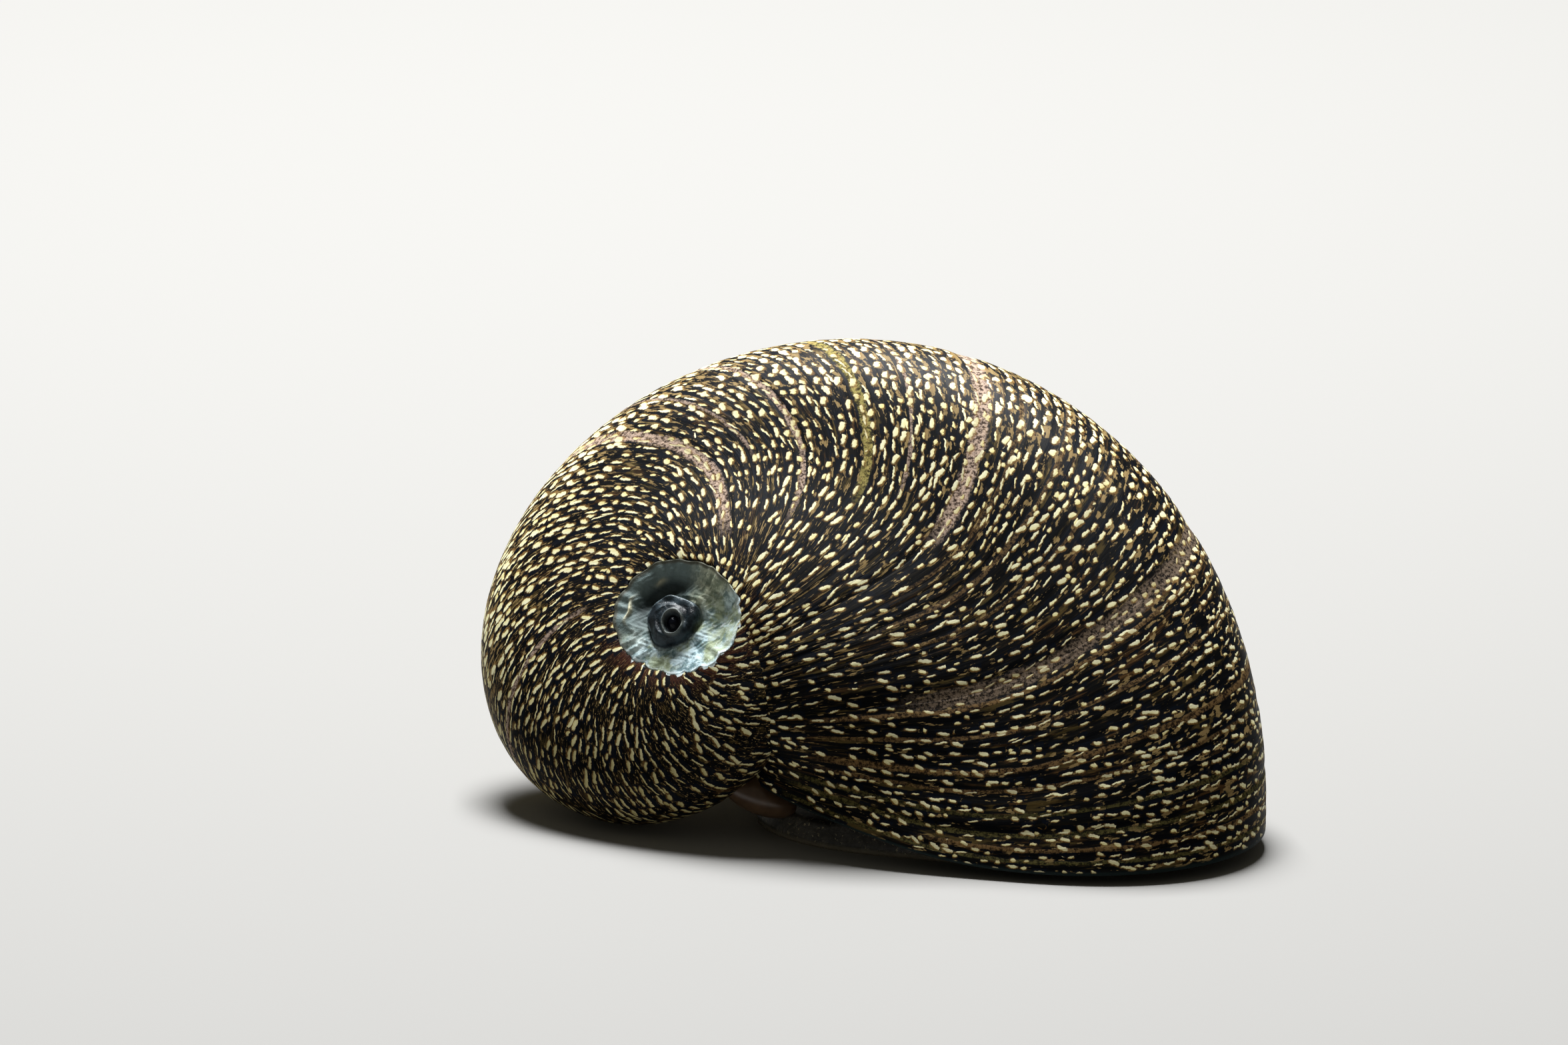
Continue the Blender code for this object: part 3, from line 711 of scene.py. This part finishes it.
def worn_apex(trees):
    """The crater's cup with the knob in it, and its rim's height at each bearing."""
    table = np.linspace(-pi, pi, 241)
    rim_table = rim_heights(trees, table, 1.0)
    outside = rim_heights(trees, table, 1.07)
    across, up = axis_frame()
    middle = APEX + across * CRATER_SHIFT[0] + up * CRATER_SHIFT[1]

    def place(t, s):
        bearing = wrapped(TURN * s + 1e-9)
        out = np.minimum(t / 0.93, 1) * 1.03
        rim = np.interp(bearing, table, rim_table)
        beyond = np.interp(bearing, table, outside)
        held = np.minimum(out, 1)
        height, x, y, masks = cup_heights(held, bearing, rim)
        past = eased((out - 1) / 0.03)
        height = height + (beyond - rim) * past * 0.5 + 0.004 * bell(out - 0.995, 0.02) - 0.05 * past
        radius = out * rim_radius(bearing)
        x, y = radius * np.cos(bearing), radius * np.sin(bearing)
        under = eased((t - 0.93) / 0.07)
        height = height - 1.6 * under
        x, y = x * (1 - 0.35 * under), y * (1 - 0.35 * under)
        points = middle + across * x[:, None] + up * y[:, None] + AXIS * height[:, None]
        return points, masks

    mesh = closed(grid_mesh("worn_apex", 130, 260, place))
    return mesh, table, rim_table


def sink_in_crater(mesh, table, rim_table):
    """Lowers the shell's surface inside the crater's rim to just under the cup."""
    flat = np.empty(len(mesh.vertices) * 3)
    mesh.vertices.foreach_get("co", flat)
    points = flat.reshape(-1, 3) / MM
    out, bearing, height = crater_place(points)
    rim = np.interp(bearing, table, rim_table)
    cup = cup_heights(np.minimum(out, 1), bearing, rim)[0]
    inside = (out < 1) & (height > -2.6)
    lowered = np.where(inside, np.minimum(height, cup - 0.12 - 1.4 * eased((0.97 - out) / 0.15)), height)
    points += AXIS * (lowered - height)[:, None]
    mesh.vertices.foreach_set("co", (points * MM).ravel())
    mesh.update()


def apex_material(looks):
    """Chalky blue-white worn shell, olive grey on its upper wall, around a glossy slate knob, with painted shade on the
    upper and left wall, the upper edge and the hollow by the knob, and a painted highlight on the knob's edge.
    """
    n = Nodes("chalky_apex")
    place = n.place()
    mottled = n.noise(place, 2400, 5, 0.65)
    coarse = n.noise(place, 900, 4, 0.6)
    flutes = n.noise(place, 4200, 4, 0.7, 0.6)
    rays = n.vector(n.math("MULTIPLY", n.value("ray_x"), 5), n.math("MULTIPLY", n.value("ray_y"), 5), n.value("far_out"))
    ray_noise = n.noise(rays, 2.0, 5, 0.65)
    worn = n.math("ADD", n.math("MULTIPLY", mottled, 0.75), n.math("MULTIPLY", ray_noise, 0.25))
    chalk = n.mix(n.step(worn, 0.42, 0.58), (0.16, 0.26, 0.29), tuple(looks.chalk))
    chalk = n.mix(n.math("MULTIPLY", n.step(coarse, 0.47, 0.6), 0.6), chalk, (0.42, 0.46, 0.20))
    chalk = n.mix(n.math("MULTIPLY", n.step(flutes, 0.58, 0.68), 0.7), chalk, (0.90, 0.96, 0.98))
    wall = n.mix(n.step(worn, 0.42, 0.58), (0.22, 0.26, 0.19), tuple(looks.wall))
    # Painted shade darkens the wall's upper left.
    wall = n.mix(n.value("left_shade"), wall, n.mix(worn, (0.05, 0.08, 0.085), (0.27, 0.35, 0.34)))
    # Painted shade: the upper side takes the olive grey wall in place of the chalk.
    colour = n.mix(n.value("shade"), chalk, wall)
    # The white teeth on the rim fade on the side with painted shade.
    teeth = n.math("MULTIPLY", n.value("edge"), n.step(flutes, 0.4, 0.58))
    colour = n.mix(n.math("MULTIPLY", teeth, n.math("SUBTRACT", 1, n.math("MULTIPLY", n.value("shade"), 0.8))), colour, (0.66, 0.76, 0.78))
    # Painted shade: the rim's upper edge is darkened to a dark olive brown.
    lip = n.math("MULTIPLY", n.value("edge"), n.value("shade"))
    colour = n.mix(n.math("MULTIPLY", lip, 0.85), colour, (0.07, 0.065, 0.04))
    colour = n.mix(n.value("ledge"), colour, (0.90, 0.85, 0.58))
    slate = n.mix(n.step(mottled, 0.4, 0.66), (0.005, 0.009, 0.013), tuple(looks.knob))
    # Painted shade: the hollow by the knob is painted near black.
    colour = n.mix(n.math("MULTIPLY", n.value("shaded_trench"), 0.8), colour, n.mix(mottled, (0.001, 0.003, 0.005), (0.008, 0.014, 0.018)))
    knob = n.value("knob")
    colour = n.mix(knob, colour, slate)
    # Painted highlight: a pale slate line along the knob's edge.
    colour = n.mix(n.math("MULTIPLY", n.value("knob_edge_highlight"), n.step(mottled, 0.35, 0.55)), colour, (0.11, 0.15, 0.17))
    colour = n.mix(n.math("MULTIPLY", n.value("ring"), 0.8), colour, (0.16, 0.18, 0.17))
    colour = n.mix(n.value("bead"), colour, (0.003, 0.004, 0.008))
    rough = n.blend(knob, n.blend(mottled, 0.5, 0.85), 0.4)
    rough = n.blend(n.value("bead"), rough, 0.12)
    height = n.math("ADD", mottled, n.math("MULTIPLY", flutes, 0.5))
    normal = n.bump(height, 0.00008, 0.7)
    return n.finish(Base_Color=colour, Roughness=rough, Normal=normal, Specular_IOR_Level=0.2)


def callus_mesh():
    """The smooth pad under the seam, between the lip's inner end and the spire."""

    def place(t, s):
        level, a = pi * (0.02 + 0.96 * t), TURN * s
        x, y, z = 1.3 * np.sin(level) * np.cos(a), 0.95 * np.sin(level) * np.sin(a), -0.62 * np.cos(level)
        tilt = radians(24)
        return np.stack((-7.55 + x * cos(tilt) + z * sin(tilt), -0.85 + y, 1.42 - x * sin(tilt) + z * cos(tilt)), -1), {}

    return closed(grid_mesh("smooth_callus", 40, 72, place))


def callus_material():
    """Smooth tan callus with faint clouding."""
    n = Nodes("shade_darkened_callus")
    place = n.place()
    cloudy = n.noise(place, 700, 4, 0.6)
    # Painted shade: the whole callus is darkened from its tan, as it sits in shade under the seam.
    colour = n.mix(n.step(cloudy, 0.3, 0.7), (0.045, 0.024, 0.012), (0.12, 0.07, 0.038))
    return n.finish(Base_Color=colour, Roughness=n.blend(cloudy, 0.25, 0.4), Normal=n.bump(cloudy, 0.00004, 0.4))


def lid_material():
    """Dark horny lid with curved growth rings."""
    n = Nodes("ringed_lid")
    place = n.place()
    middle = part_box("operculum")
    centre = (Vector(middle[0]) + Vector(middle[1])) / 2
    spot = n.add("ShaderNodeMapping", {"Vector": place, "Location": tuple(-centre + Vector((0.0009, 0.0012, 0)))}).outputs[0]
    rings = n.add("ShaderNodeTexWave", {"Vector": spot, "Scale": 1150, "Distortion": 2.0, "Detail": 3, "Detail Scale": 2},
                  wave_type="RINGS", rings_direction="Z").outputs["Fac"]
    speck = n.noise(place, 3000, 4, 0.6)
    colour = n.mix(rings, (0.035, 0.018, 0.014), (0.13, 0.07, 0.045))
    colour = n.mix(n.math("MULTIPLY", speck, 0.4), colour, (0.02, 0.014, 0.012))
    return n.finish(Base_Color=colour, Roughness=n.blend(speck, 0.25, 0.45), Normal=n.bump(rings, 0.00003, 0.6))


FOOT_RINGS = (
    (1.38, 0.25, 0.0, 0.0),
    (1.3, 0.38, 0.1, 0.0),
    (1.28, 0.38, 0.22, 0.0),
    (1.38, 0.1, 0.3, 0.35),
    (1.9, 0.0, 0.0, 1.0),
    (2.1, 0.0, 0.35, 1.0),
    (2.7, 0.0, 0.65, 1.0),
    (3.6, 0.0, 0.77, 1.0),
    (6.0, 0.0, 0.78, 1.0),
)
HEADING = radians(66)
HEAD_AHEAD = np.array((cos(HEADING), sin(HEADING), 0))
HEAD_LEFT = np.array((-sin(HEADING), cos(HEADING), 0))
UP = np.array((0.0, 0.0, 1.0))


def tube(name, middles, radii, around=20):
    """A round limb through middle points with the given radii, closed at both ends."""
    middles, radii = np.array(middles), np.array(radii)
    steps = np.linspace(0, 1, len(middles))
    along = 4 * len(middles)

    def place(t, s):
        middle = np.stack([np.interp(t, steps, middles[:, k]) for k in range(3)], -1)
        ahead = np.stack([np.interp(t, steps, np.gradient(middles[:, k])) for k in range(3)], -1)
        ahead /= np.linalg.norm(ahead, axis=1)[:, None]
        side = np.cross(ahead, UP)
        side /= np.linalg.norm(side, axis=1)[:, None]
        radius = np.interp(t, steps, radii) * np.sqrt(np.clip(1 - ((t - 0.5) * 2) ** 16, 0.02, 1))
        a = TURN * s
        turn = side * np.cos(a)[:, None] + np.cross(side, ahead) * np.sin(a)[:, None]
        return middle + turn * radius[:, None], {}

    return closed(grid_mesh(name, along, around, place))


def foot_lump():
    """The foot, flat under its sole, cut back at the rear for the lid."""
    rings = np.array(FOOT_RINGS)
    steps = np.linspace(0, 1, len(rings))
    rear = np.array((cos(radians(146)), sin(radians(146))))

    def place(t, s):
        a = TURN * s
        inset, given, height, share = (np.interp(t, steps, rings[:, k]) for k in range(4))
        lip = lip_height(a)
        radius = outline(radians(-70), a) - inset + given * eased((lip - 0.5) / 1.4)
        radius = np.maximum(radius, 0.05)
        x, y, z = radius * np.cos(a), radius * np.sin(a), height + share * lip
        back = eased((x * rear[0] + y * rear[1] - 2.75) / 0.25)
        return np.stack((x, y, z * (1 - back) + np.minimum(z, 0.82) * back), -1), {}

    return closed(grid_mesh("foot_lump", 48, 160, place))


def head_lump():
    """The broad, low head, narrowing to a snout with a soft lobe each side of its mouth."""

    def place(t, s):
        a = TURN * s
        swell = eased((t - 0.34) / 0.26)
        snout = eased((t - 0.66) / 0.34)
        width = 1.03 + 0.6 * swell - 0.3 * snout
        top = 0.93 + 0.88 * swell - 0.45 * snout
        bottom = 0.18 + 0.06 * swell
        full = np.sqrt(np.clip(1 - (np.clip(t - 0.8, 0, 1) / 0.2) ** 2.6, 0.0004, 1))
        middle, half = (top + bottom) / 2, (top - bottom) / 2
        lobes = 1 + 0.1 * np.cos(2 * a) * eased((t - 0.8) / 0.1)
        side = width * full * np.cos(a) * lobes
        rise = half * (0.25 + 0.75 * full) * np.sin(a)
        dimple = 0.12 * bell(side, 0.28) * bell(t - 0.97, 0.05) * (np.sin(a) < 0.2)
        reach = 6.3 + 6.2 * t - dimple
        return HEAD_AHEAD * reach[:, None] + HEAD_LEFT * side[:, None] + UP * (middle + rise)[:, None], {}

    return closed(grid_mesh("head_lump", 70, 60, place))


def collar_lump():
    """The fleshy rim that lines the lip round the front and both sides."""

    def place(t, s):
        bearing = radians(-112) + radians(182) * t
        a = TURN * s
        frill = 0.05 * np.sin(bearing * 34) + 0.03 * np.sin(bearing * 61 + 1)
        half = 0.26 * np.sqrt(np.clip(1 - (2 * t - 1) ** 12, 0.01, 1))
        radius = outline(0, bearing) - 1.45 - 0.275 + half * np.cos(a) * (1 + frill * 2)
        level = lip_height(bearing) + 0.4 + (half - 0.02) * np.sin(a) + frill * 0.6
        return np.stack((radius * np.cos(bearing), radius * np.sin(bearing), level), -1), {}

    return closed(grid_mesh("collar_lump", 180, 16, place))


def feeler_route(side):
    """A feeler's middle points and radii, from inside the head to its tip."""
    length, splay = (3.7, radians(30)) if side > 0 else (3.1, radians(-25))
    root = HEAD_AHEAD * 10.75 + HEAD_LEFT * side * 1.1 + UP * 1.3
    points, radii = [], []
    for t in np.linspace(-0.12, 0.985, 22):
        bend = splay * (0.6 + 0.55 * t)
        way = HEAD_AHEAD * cos(bend) + HEAD_LEFT * sin(bend)
        points.append(root + way * (length * t) - UP * 0.75 * sin(pi * max(min(t, 0.95), 0) * 0.62))
        radii.append((0.36 - 0.1 * max(t, 0)) * 0.96 * (1 - 0.42 * float(eased((t - 0.55) / 0.45))))
    return points, radii


def flesh_mesh(looks):
    """Foot, collar, head, eye stalks and feelers joined into one smooth skin."""
    lumps = [foot_lump(), head_lump(), collar_lump()]
    for side, word in ((1, "left"), (-1, "right")):
        points, radii = feeler_route(side)
        lumps.append(tube(f"feeler_lump_{word}", points, radii))
        low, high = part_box(f"eye_{word}")
        eye = (np.array(low) + np.array(high)) / 2 / MM
        base = eye - HEAD_LEFT * side * 0.38 - UP * 0.75
        lumps.append(tube(f"stalk_lump_{word}", [base, base * 0.4 + eye * 0.6, eye + UP * 0.02], [0.5, 0.42, 0.37]))
    bm = bmesh.new()
    for lump in lumps:
        bm.from_mesh(lump)
        bpy.data.meshes.remove(lump)
    mesh = bpy.data.meshes.new("flesh_lumps")
    bm.to_mesh(mesh)
    bm.free()
    skin = bpy.data.objects.new("flesh_lumps", mesh)
    bpy.context.collection.objects.link(skin)
    knit = skin.modifiers.new("Knit", "REMESH")
    knit.mode = "VOXEL"
    knit.voxel_size = looks.skin_step
    ease = skin.modifiers.new("Ease", "SMOOTH")
    ease.factor, ease.iterations = 0.6, 6
    evaluated = skin.evaluated_get(bpy.context.evaluated_depsgraph_get())
    made = bpy.data.meshes.new_from_object(evaluated)
    made.name = "flesh"
    bpy.data.objects.remove(skin, do_unlink=True)
    refine_head(made)
    flat = np.empty(len(made.vertices) * 3)
    made.vertices.foreach_get("co", flat)
    points = flat.reshape(-1, 3) / MM
    normals = np.empty(len(points) * 3)
    made.vertex_normals.foreach_get("vector", normals)
    normals = normals.reshape(-1, 3)
    points[:, 2] = np.where(points[:, 2] < 0.09, 0, points[:, 2])
    points += normals * (skin_relief(points) * eased((points[:, 2] - 0.09) / 0.15))[:, None]
    for word in ("left", "right"):
        low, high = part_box(f"eye_{word}")
        eye = (np.array(low) + np.array(high)) / 2 / MM
        away = points - eye
        distance = np.linalg.norm(away, axis=1)
        lid = np.clip((looks.eye_radius / MM + 0.012) / np.maximum(distance, 1e-6), 1, None)
        points[:] = eye + away * lid[:, None]
    made.vertices.foreach_set("co", (points * MM).ravel())
    reach = points @ HEAD_AHEAD
    fields = {"reach": reach, "aside": points @ HEAD_LEFT, "feeler": eased((reach - 11.9) / 0.5)}
    for key, numbers in fields.items():
        made.attributes.new(key, "FLOAT", "POINT").data.foreach_set("value", numbers)
    made.update()
    return made


def refine_head(mesh):
    """Halves the mesh's steps over the head and feelers, where the detail is."""
    bm = bmesh.new()
    bm.from_mesh(mesh)
    ahead = Vector(HEAD_AHEAD) / MM
    edges = [e for e in bm.edges if all(v.co @ ahead > 7.6 and v.co.z > 0.0002 for v in e.verts)]
    bmesh.ops.subdivide_edges(bm, edges=edges, cuts=1, use_grid_fill=True)
    near = [v for v in bm.verts if v.co @ ahead > 7.7 and v.co.z > 0.0002]
    bmesh.ops.smooth_vert(bm, verts=near, factor=0.5, use_axis_x=True, use_axis_y=True, use_axis_z=True)
    bmesh.ops.triangulate(bm, faces=bm.faces)
    bm.to_mesh(mesh)
    bm.free()


def skin_relief(points):
    """Neck folds, the snout's creases and mouth, feeler rings and fine grain, in mm."""
    reach, side, up = points @ HEAD_AHEAD, points @ HEAD_LEFT, points[:, 2]
    sway = 0.12 * np.sin(side * 4.1 + up * 3) + 0.05 * np.sin(side * 11 + 1)
    folds = np.sin((reach + sway) * TURN / 0.3) * bell(reach - 8.4, 0.9) * (np.abs(side) < 2)
    folds += 0.7 * np.sin((reach + sway * 0.6) * TURN / 0.21) * bell(reach - 11.6, 0.45) * (np.abs(side) < 1.3)
    rise = 0.018 * folds
    rise -= 0.09 * bell(reach - 11.15 - 0.15 * side**2, 0.1) * (np.abs(side) < 1.2)
    mouth = bell(side, 0.06) * bell(up - 0.55, 0.3) * eased((reach - 12.0) / 0.25) * (np.abs(side) < 0.5)
    rise -= 0.13 * mouth
    rise += 0.05 * bell(np.abs(side) - 0.17, 0.1) * bell(up - 0.55, 0.32) * eased((reach - 12.0) / 0.25) * (np.abs(side) < 0.5)
    long_feeler = np.abs(side) > 1.25
    rise += 0.005 * np.sin(np.hypot(reach - 10.6, side) * TURN / 0.17) * eased((reach - 10.9) / 0.3) * long_feeler
    grain = np.sin(points[:, 0] * 17 + 2 * np.sin(points[:, 1] * 9)) * np.sin(points[:, 1] * 19 + 2 * np.sin(up * 11))
    grain *= np.sin(up * 15 + 2 * np.sin(points[:, 0] * 7))
    return rise + 0.008 * grain * (1 - 0.6 * long_feeler)


def flesh_material(looks):
    """Moist dark grey skin, mottled and finely wrinkled, with lined feelers and a paler sole."""
    n = Nodes("snail_skin")
    place = n.place()
    height = n.add("ShaderNodeSeparateXYZ", {"Vector": place}).outputs["Z"]
    blotch = n.noise(place, 1300, 5, 0.7)
    speck = n.noise(place, 9000, 3, 0.6)
    wrinkle = n.noise(n.vector(n.math("MULTIPLY", n.value("reach"), 9), n.math("MULTIPLY", n.value("aside"), 2.5), height), 1.0, 5, 0.7, 0.8)
    grain = n.noise(place, 14000, 4, 0.65)
    colour = n.mix(n.step(blotch, 0.38, 0.64), tuple(looks.dark), tuple(looks.pale))
    colour = n.mix(n.math("MULTIPLY", n.step(wrinkle, 0.5, 0.35), 0.75), colour, tuple(looks.dark))
    stripe = n.step(n.noise(n.vector(n.math("MULTIPLY", n.value("aside"), 14), n.value("reach"), 5), 1.0, 3, 0.6), 0.5, 0.58)
    colour = n.mix(n.math("MULTIPLY", n.value("feeler"), stripe), colour, (0.006, 0.006, 0.006))
    colour = n.mix(n.math("MULTIPLY", n.step(speck, 0.6, 0.66), 0.8), colour, tuple(looks.speck))
    colour = n.mix(n.step(height, 0.00025, 0.00005), colour, (0.30, 0.27, 0.21))
    relief = n.math("ADD", n.math("MULTIPLY", wrinkle, 0.7), n.math("MULTIPLY", grain, 0.3))
    return n.finish(Base_Color=colour, Roughness=n.blend(grain, 0.3, 0.5), Normal=n.bump(relief, 0.00005, 0.55),
                    Subsurface_Weight=0.1, Subsurface_Radius=(0.6, 0.35, 0.25), Subsurface_Scale=0.0004)


def eye_mesh(word, radius):
    """One round eye with a slightly fuller cornea, set into its stalk."""
    low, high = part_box(f"eye_{word}")
    centre = (np.array(low) + np.array(high)) / 2 / MM

    def place(t, s):
        level, a = pi * (0.002 + 0.996 * t), TURN * s
        fuller = radius + 0.008 * np.cos(level) ** 4
        ring = fuller * np.sin(level)
        return centre + np.stack((ring * np.cos(a), ring * np.sin(a), -fuller * np.cos(level)), -1), {}

    return closed(grid_mesh(f"eye_ball_{word}", 32, 48, place))


def eye_material():
    """Glossy black eye."""
    n = Nodes("glossy_eye")
    cloud = n.noise(n.place(), 4000, 3, 0.5)
    return n.finish(Base_Color=n.mix(cloud, (0.004, 0.004, 0.005), (0.014, 0.012, 0.012)), Roughness=0.06, Coat_Weight=0.6, Coat_Roughness=0.03)


def colour_property(name, description, default):
    """A colour that a user can change."""
    return bpy.props.FloatVectorProperty(
        name=name, description=description, default=default, subtype="COLOR", size=3, min=0, max=1
    )


def length_property(name, description, default):
    """A length in metres that a user can change."""
    return bpy.props.FloatProperty(name=name, description=description, default=default, min=1e-5, unit="LENGTH", precision=6)


class NERITE_PG_shell(bpy.types.PropertyGroup):
    """Flecks, ground and bands of the shell"""

    fleck_length: length_property("Fleck length", "Half the length of a middling fleck", 0.00015)
    fleck_width: length_property("Fleck width", "Half the width of a middling fleck", 0.000057)
    row_spacing: length_property("Row spacing", "Distance between rows of flecks along a growth line", 0.0005)
    line_spacing: length_property("Line spacing", "Distance between flecks across the growth lines", 0.000315)
    fleck_light: colour_property("Pale fleck", "Palest flecks on the upper side", (0.96, 0.95, 0.67))
    fleck_warm: colour_property("Yellow fleck", "Warmest flecks on the upper side", (0.86, 0.75, 0.30))
    black: colour_property("Black", "The shell's ground", (0.0022, 0.0026, 0.0036))
    brown: colour_property("Brown", "Brown growth lines", (0.15, 0.078, 0.026))
    tan: colour_property("Tan", "Tan growth lines", (0.52, 0.38, 0.16))
    band: colour_property("Band", "Wide pinkish bands", (0.66, 0.49, 0.38))


class NERITE_PG_apex(bpy.types.PropertyGroup):
    """Worn apex with its knob"""

    chalk: colour_property("Chalk", "Palest worn shell", (0.64, 0.81, 0.87))
    wall: colour_property("Upper wall", "Olive grey of the upper wall", (0.70, 0.74, 0.55))
    knob: colour_property("Knob", "Slate of the knob", (0.030, 0.048, 0.060))


class NERITE_PG_flesh(bpy.types.PropertyGroup):
    """Skin and eyes"""

    dark: colour_property("Dark skin", "Darkest skin", (0.014, 0.013, 0.011))
    pale: colour_property("Pale skin", "Palest skin", (0.085, 0.078, 0.062))
    speck: colour_property("Specks", "Small pale specks", (0.30, 0.26, 0.16))
    skin_step: length_property("Skin detail", "Size of the steps that the joined skin is made in", 0.000085)
    eye_radius: length_property("Eye radius", "Radius of each eye", 0.00025)


class NERITE_PG_stage(bpy.types.PropertyGroup):
    """Floor, light and camera"""

    key_power: bpy.props.FloatProperty(name="Key light", description="Power of the light above", default=2.1, unit="POWER")
    key_size: length_property("Key light size", "Side of the light above", 0.1)
    floor: colour_property("Floor", "The floor's colour", (0.27, 0.265, 0.255))
    elevation: bpy.props.FloatProperty(
        name="Camera elevation", description="The camera's angle over the floor", default=radians(15.4), subtype="ANGLE"
    )


class NERITE_OT_stage(bpy.types.Operator):
    """Makes the floor, the lights and the camera"""

    bl_idname = "nerite.stage"
    bl_label = "Stage and camera"

    def execute(self, context):
        scene = context.scene
        stage = scene.nerite_stage
        elevation = stage.elevation
        target = Vector(APEX) * MM + Vector((3.40, 3.34 * sin(elevation), 3.34 * cos(elevation))) * MM
        lens, width = 400, 0.04966
        data = bpy.data.cameras.new("photo_camera")
        data.lens = lens
        data.sensor_width = 36
        data.clip_start, data.clip_end = 0.01, 20
        camera = bpy.data.objects.new("photo_camera", data)
        context.collection.objects.link(camera)
        back = Vector((0, -cos(elevation), sin(elevation)))
        camera.location = target + back * (width * lens / 36)
        camera.rotation_euler = (-back).to_track_quat("-Z", "Y").to_euler()
        scene.camera = camera
        bm = bmesh.new()
        bmesh.ops.create_grid(bm, x_segments=1, y_segments=1, size=1.5)
        mesh = bpy.data.meshes.new("floor")
        bm.to_mesh(mesh)
        bm.free()
        floor = bpy.data.objects.new("floor", mesh)
        context.collection.objects.link(floor)
        n = Nodes("pale_floor")
        mesh.materials.append(n.finish(Base_Color=tuple(stage.floor), Roughness=0.75))
        for name, size, power, spot, colour in (
            ("key_light", stage.key_size, stage.key_power, (-0.019, 0.136, 0.238), (0.98, 0.99, 1.0)),
        ):
            light = bpy.data.lights.new(name, "AREA")
            light.size = size
            light.energy = power
            light.color = colour
            lamp = bpy.data.objects.new(name, light)
            context.collection.objects.link(lamp)
            lamp.location = spot
            lamp.rotation_euler = (Vector((-0.005, 0, 0.006)) - lamp.location).to_track_quat("-Z", "Y").to_euler()
        world = bpy.data.worlds.new("studio")
        scene.world = world
        world.use_nodes = True
        world.node_tree.nodes["Background"].inputs["Color"].default_value = (0.88, 0.83, 0.68, 1)
        world.node_tree.nodes["Background"].inputs["Strength"].default_value = 0.125
        scene.view_settings.view_transform = "Standard"
        return {"FINISHED"}


class NERITE_OT_shell(bpy.types.Operator):
    """Makes the shell in four lengths that meet at its growth bands"""

    bl_idname = "nerite.shell"
    bl_label = "Shell"

    def execute(self, context):
        finish = shell_material(context.scene.nerite_shell)
        spire = shell_length("shell_spire", FIRST_WHORL, BAND_REAR, 260, 240)
        rear = shell_length("shell_rear", BAND_REAR, BAND_PINK, 150, 330)
        front = shell_length("shell_front", BAND_PINK, BAND_NEAR_LIP, 120, 360)
        lip = lip_mesh(150, 360)
        trees = []
        for mesh in (spire, rear, front):
            bm = bmesh.new()
            bm.from_mesh(mesh)
            trees.append(BVHTree.FromBMesh(bm))
            bm.free()
        apex, table, rim_table = worn_apex(trees)
        for mesh in (spire, rear, front):
            sink_in_crater(mesh, table, rim_table)
        piece(apex, ["shell_apex"], apex_material(context.scene.nerite_apex), 60)
        piece(spire, ["shell_spire_whorl"], finish)
        piece(rear, ["shell_body_whorl"], finish)
        piece(front, ["shell_body_whorl"], finish)
        piece(lip, ["shell_outer_lip"], finish)
        return {"FINISHED"}


class NERITE_OT_callus(bpy.types.Operator):
    """Makes the smooth pad under the seam and finishes the deck and the lid"""

    bl_idname = "nerite.callus"
    bl_label = "Callus, deck and lid"

    def execute(self, context):
        finish = callus_material()
        piece(callus_mesh(), ["shell_callus"], finish)
        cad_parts["shell_columella_deck"].material_slots[0].material = finish
        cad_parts["operculum"].material_slots[0].material = lid_material()
        return {"FINISHED"}


class NERITE_OT_flesh(bpy.types.Operator):
    """Makes the foot, head, feelers and eyes"""

    bl_idname = "nerite.flesh"
    bl_label = "Flesh and eyes"

    def execute(self, context):
        nodes = ["foot", "mantle_edge", "head", "tentacle_left", "tentacle_right"]
        looks = context.scene.nerite_flesh
        piece(flesh_mesh(looks), nodes, flesh_material(looks), 80)
        finish = eye_material()
        for word in ("left", "right"):
            piece(eye_mesh(word, looks.eye_radius / MM), [f"eye_{word}"], finish)
        return {"FINISHED"}


class NERITE_PT_build(bpy.types.Panel):
    """Lists the pieces of the snail with their settings"""

    bl_idname = "NERITE_PT_build"
    bl_label = "Nerite snail"
    bl_space_type = "VIEW_3D"
    bl_region_type = "UI"
    bl_category = "Nerite"

    def draw(self, context):
        for operator, group in STEPS:
            box = self.layout.box()
            box.operator(operator)
            if group:
                settings = getattr(context.scene, group)
                for name in settings.__annotations__:
                    box.prop(settings, name)


STEPS = (
    ("nerite.stage", "nerite_stage"),
    ("nerite.shell", "nerite_shell"),
    ("nerite.callus", "nerite_apex"),
    ("nerite.flesh", "nerite_flesh"),
)
GROUPS = {
    "nerite_stage": NERITE_PG_stage,
    "nerite_shell": NERITE_PG_shell,
    "nerite_apex": NERITE_PG_apex,
    "nerite_flesh": NERITE_PG_flesh,
}
CLASSES = (*GROUPS.values(), NERITE_OT_stage, NERITE_OT_shell, NERITE_OT_callus, NERITE_OT_flesh, NERITE_PT_build)


def register():
    for cls in CLASSES:
        bpy.utils.register_class(cls)
    for name, group in GROUPS.items():
        setattr(bpy.types.Scene, name, bpy.props.PointerProperty(type=group))


def unregister():
    for cls in reversed(CLASSES):
        bpy.utils.unregister_class(cls)


def main():
    register()
    bpy.ops.nerite.stage()
    bpy.ops.nerite.shell()
    bpy.ops.nerite.callus()
    bpy.ops.nerite.flesh()


if __name__ == "__main__":
    main()
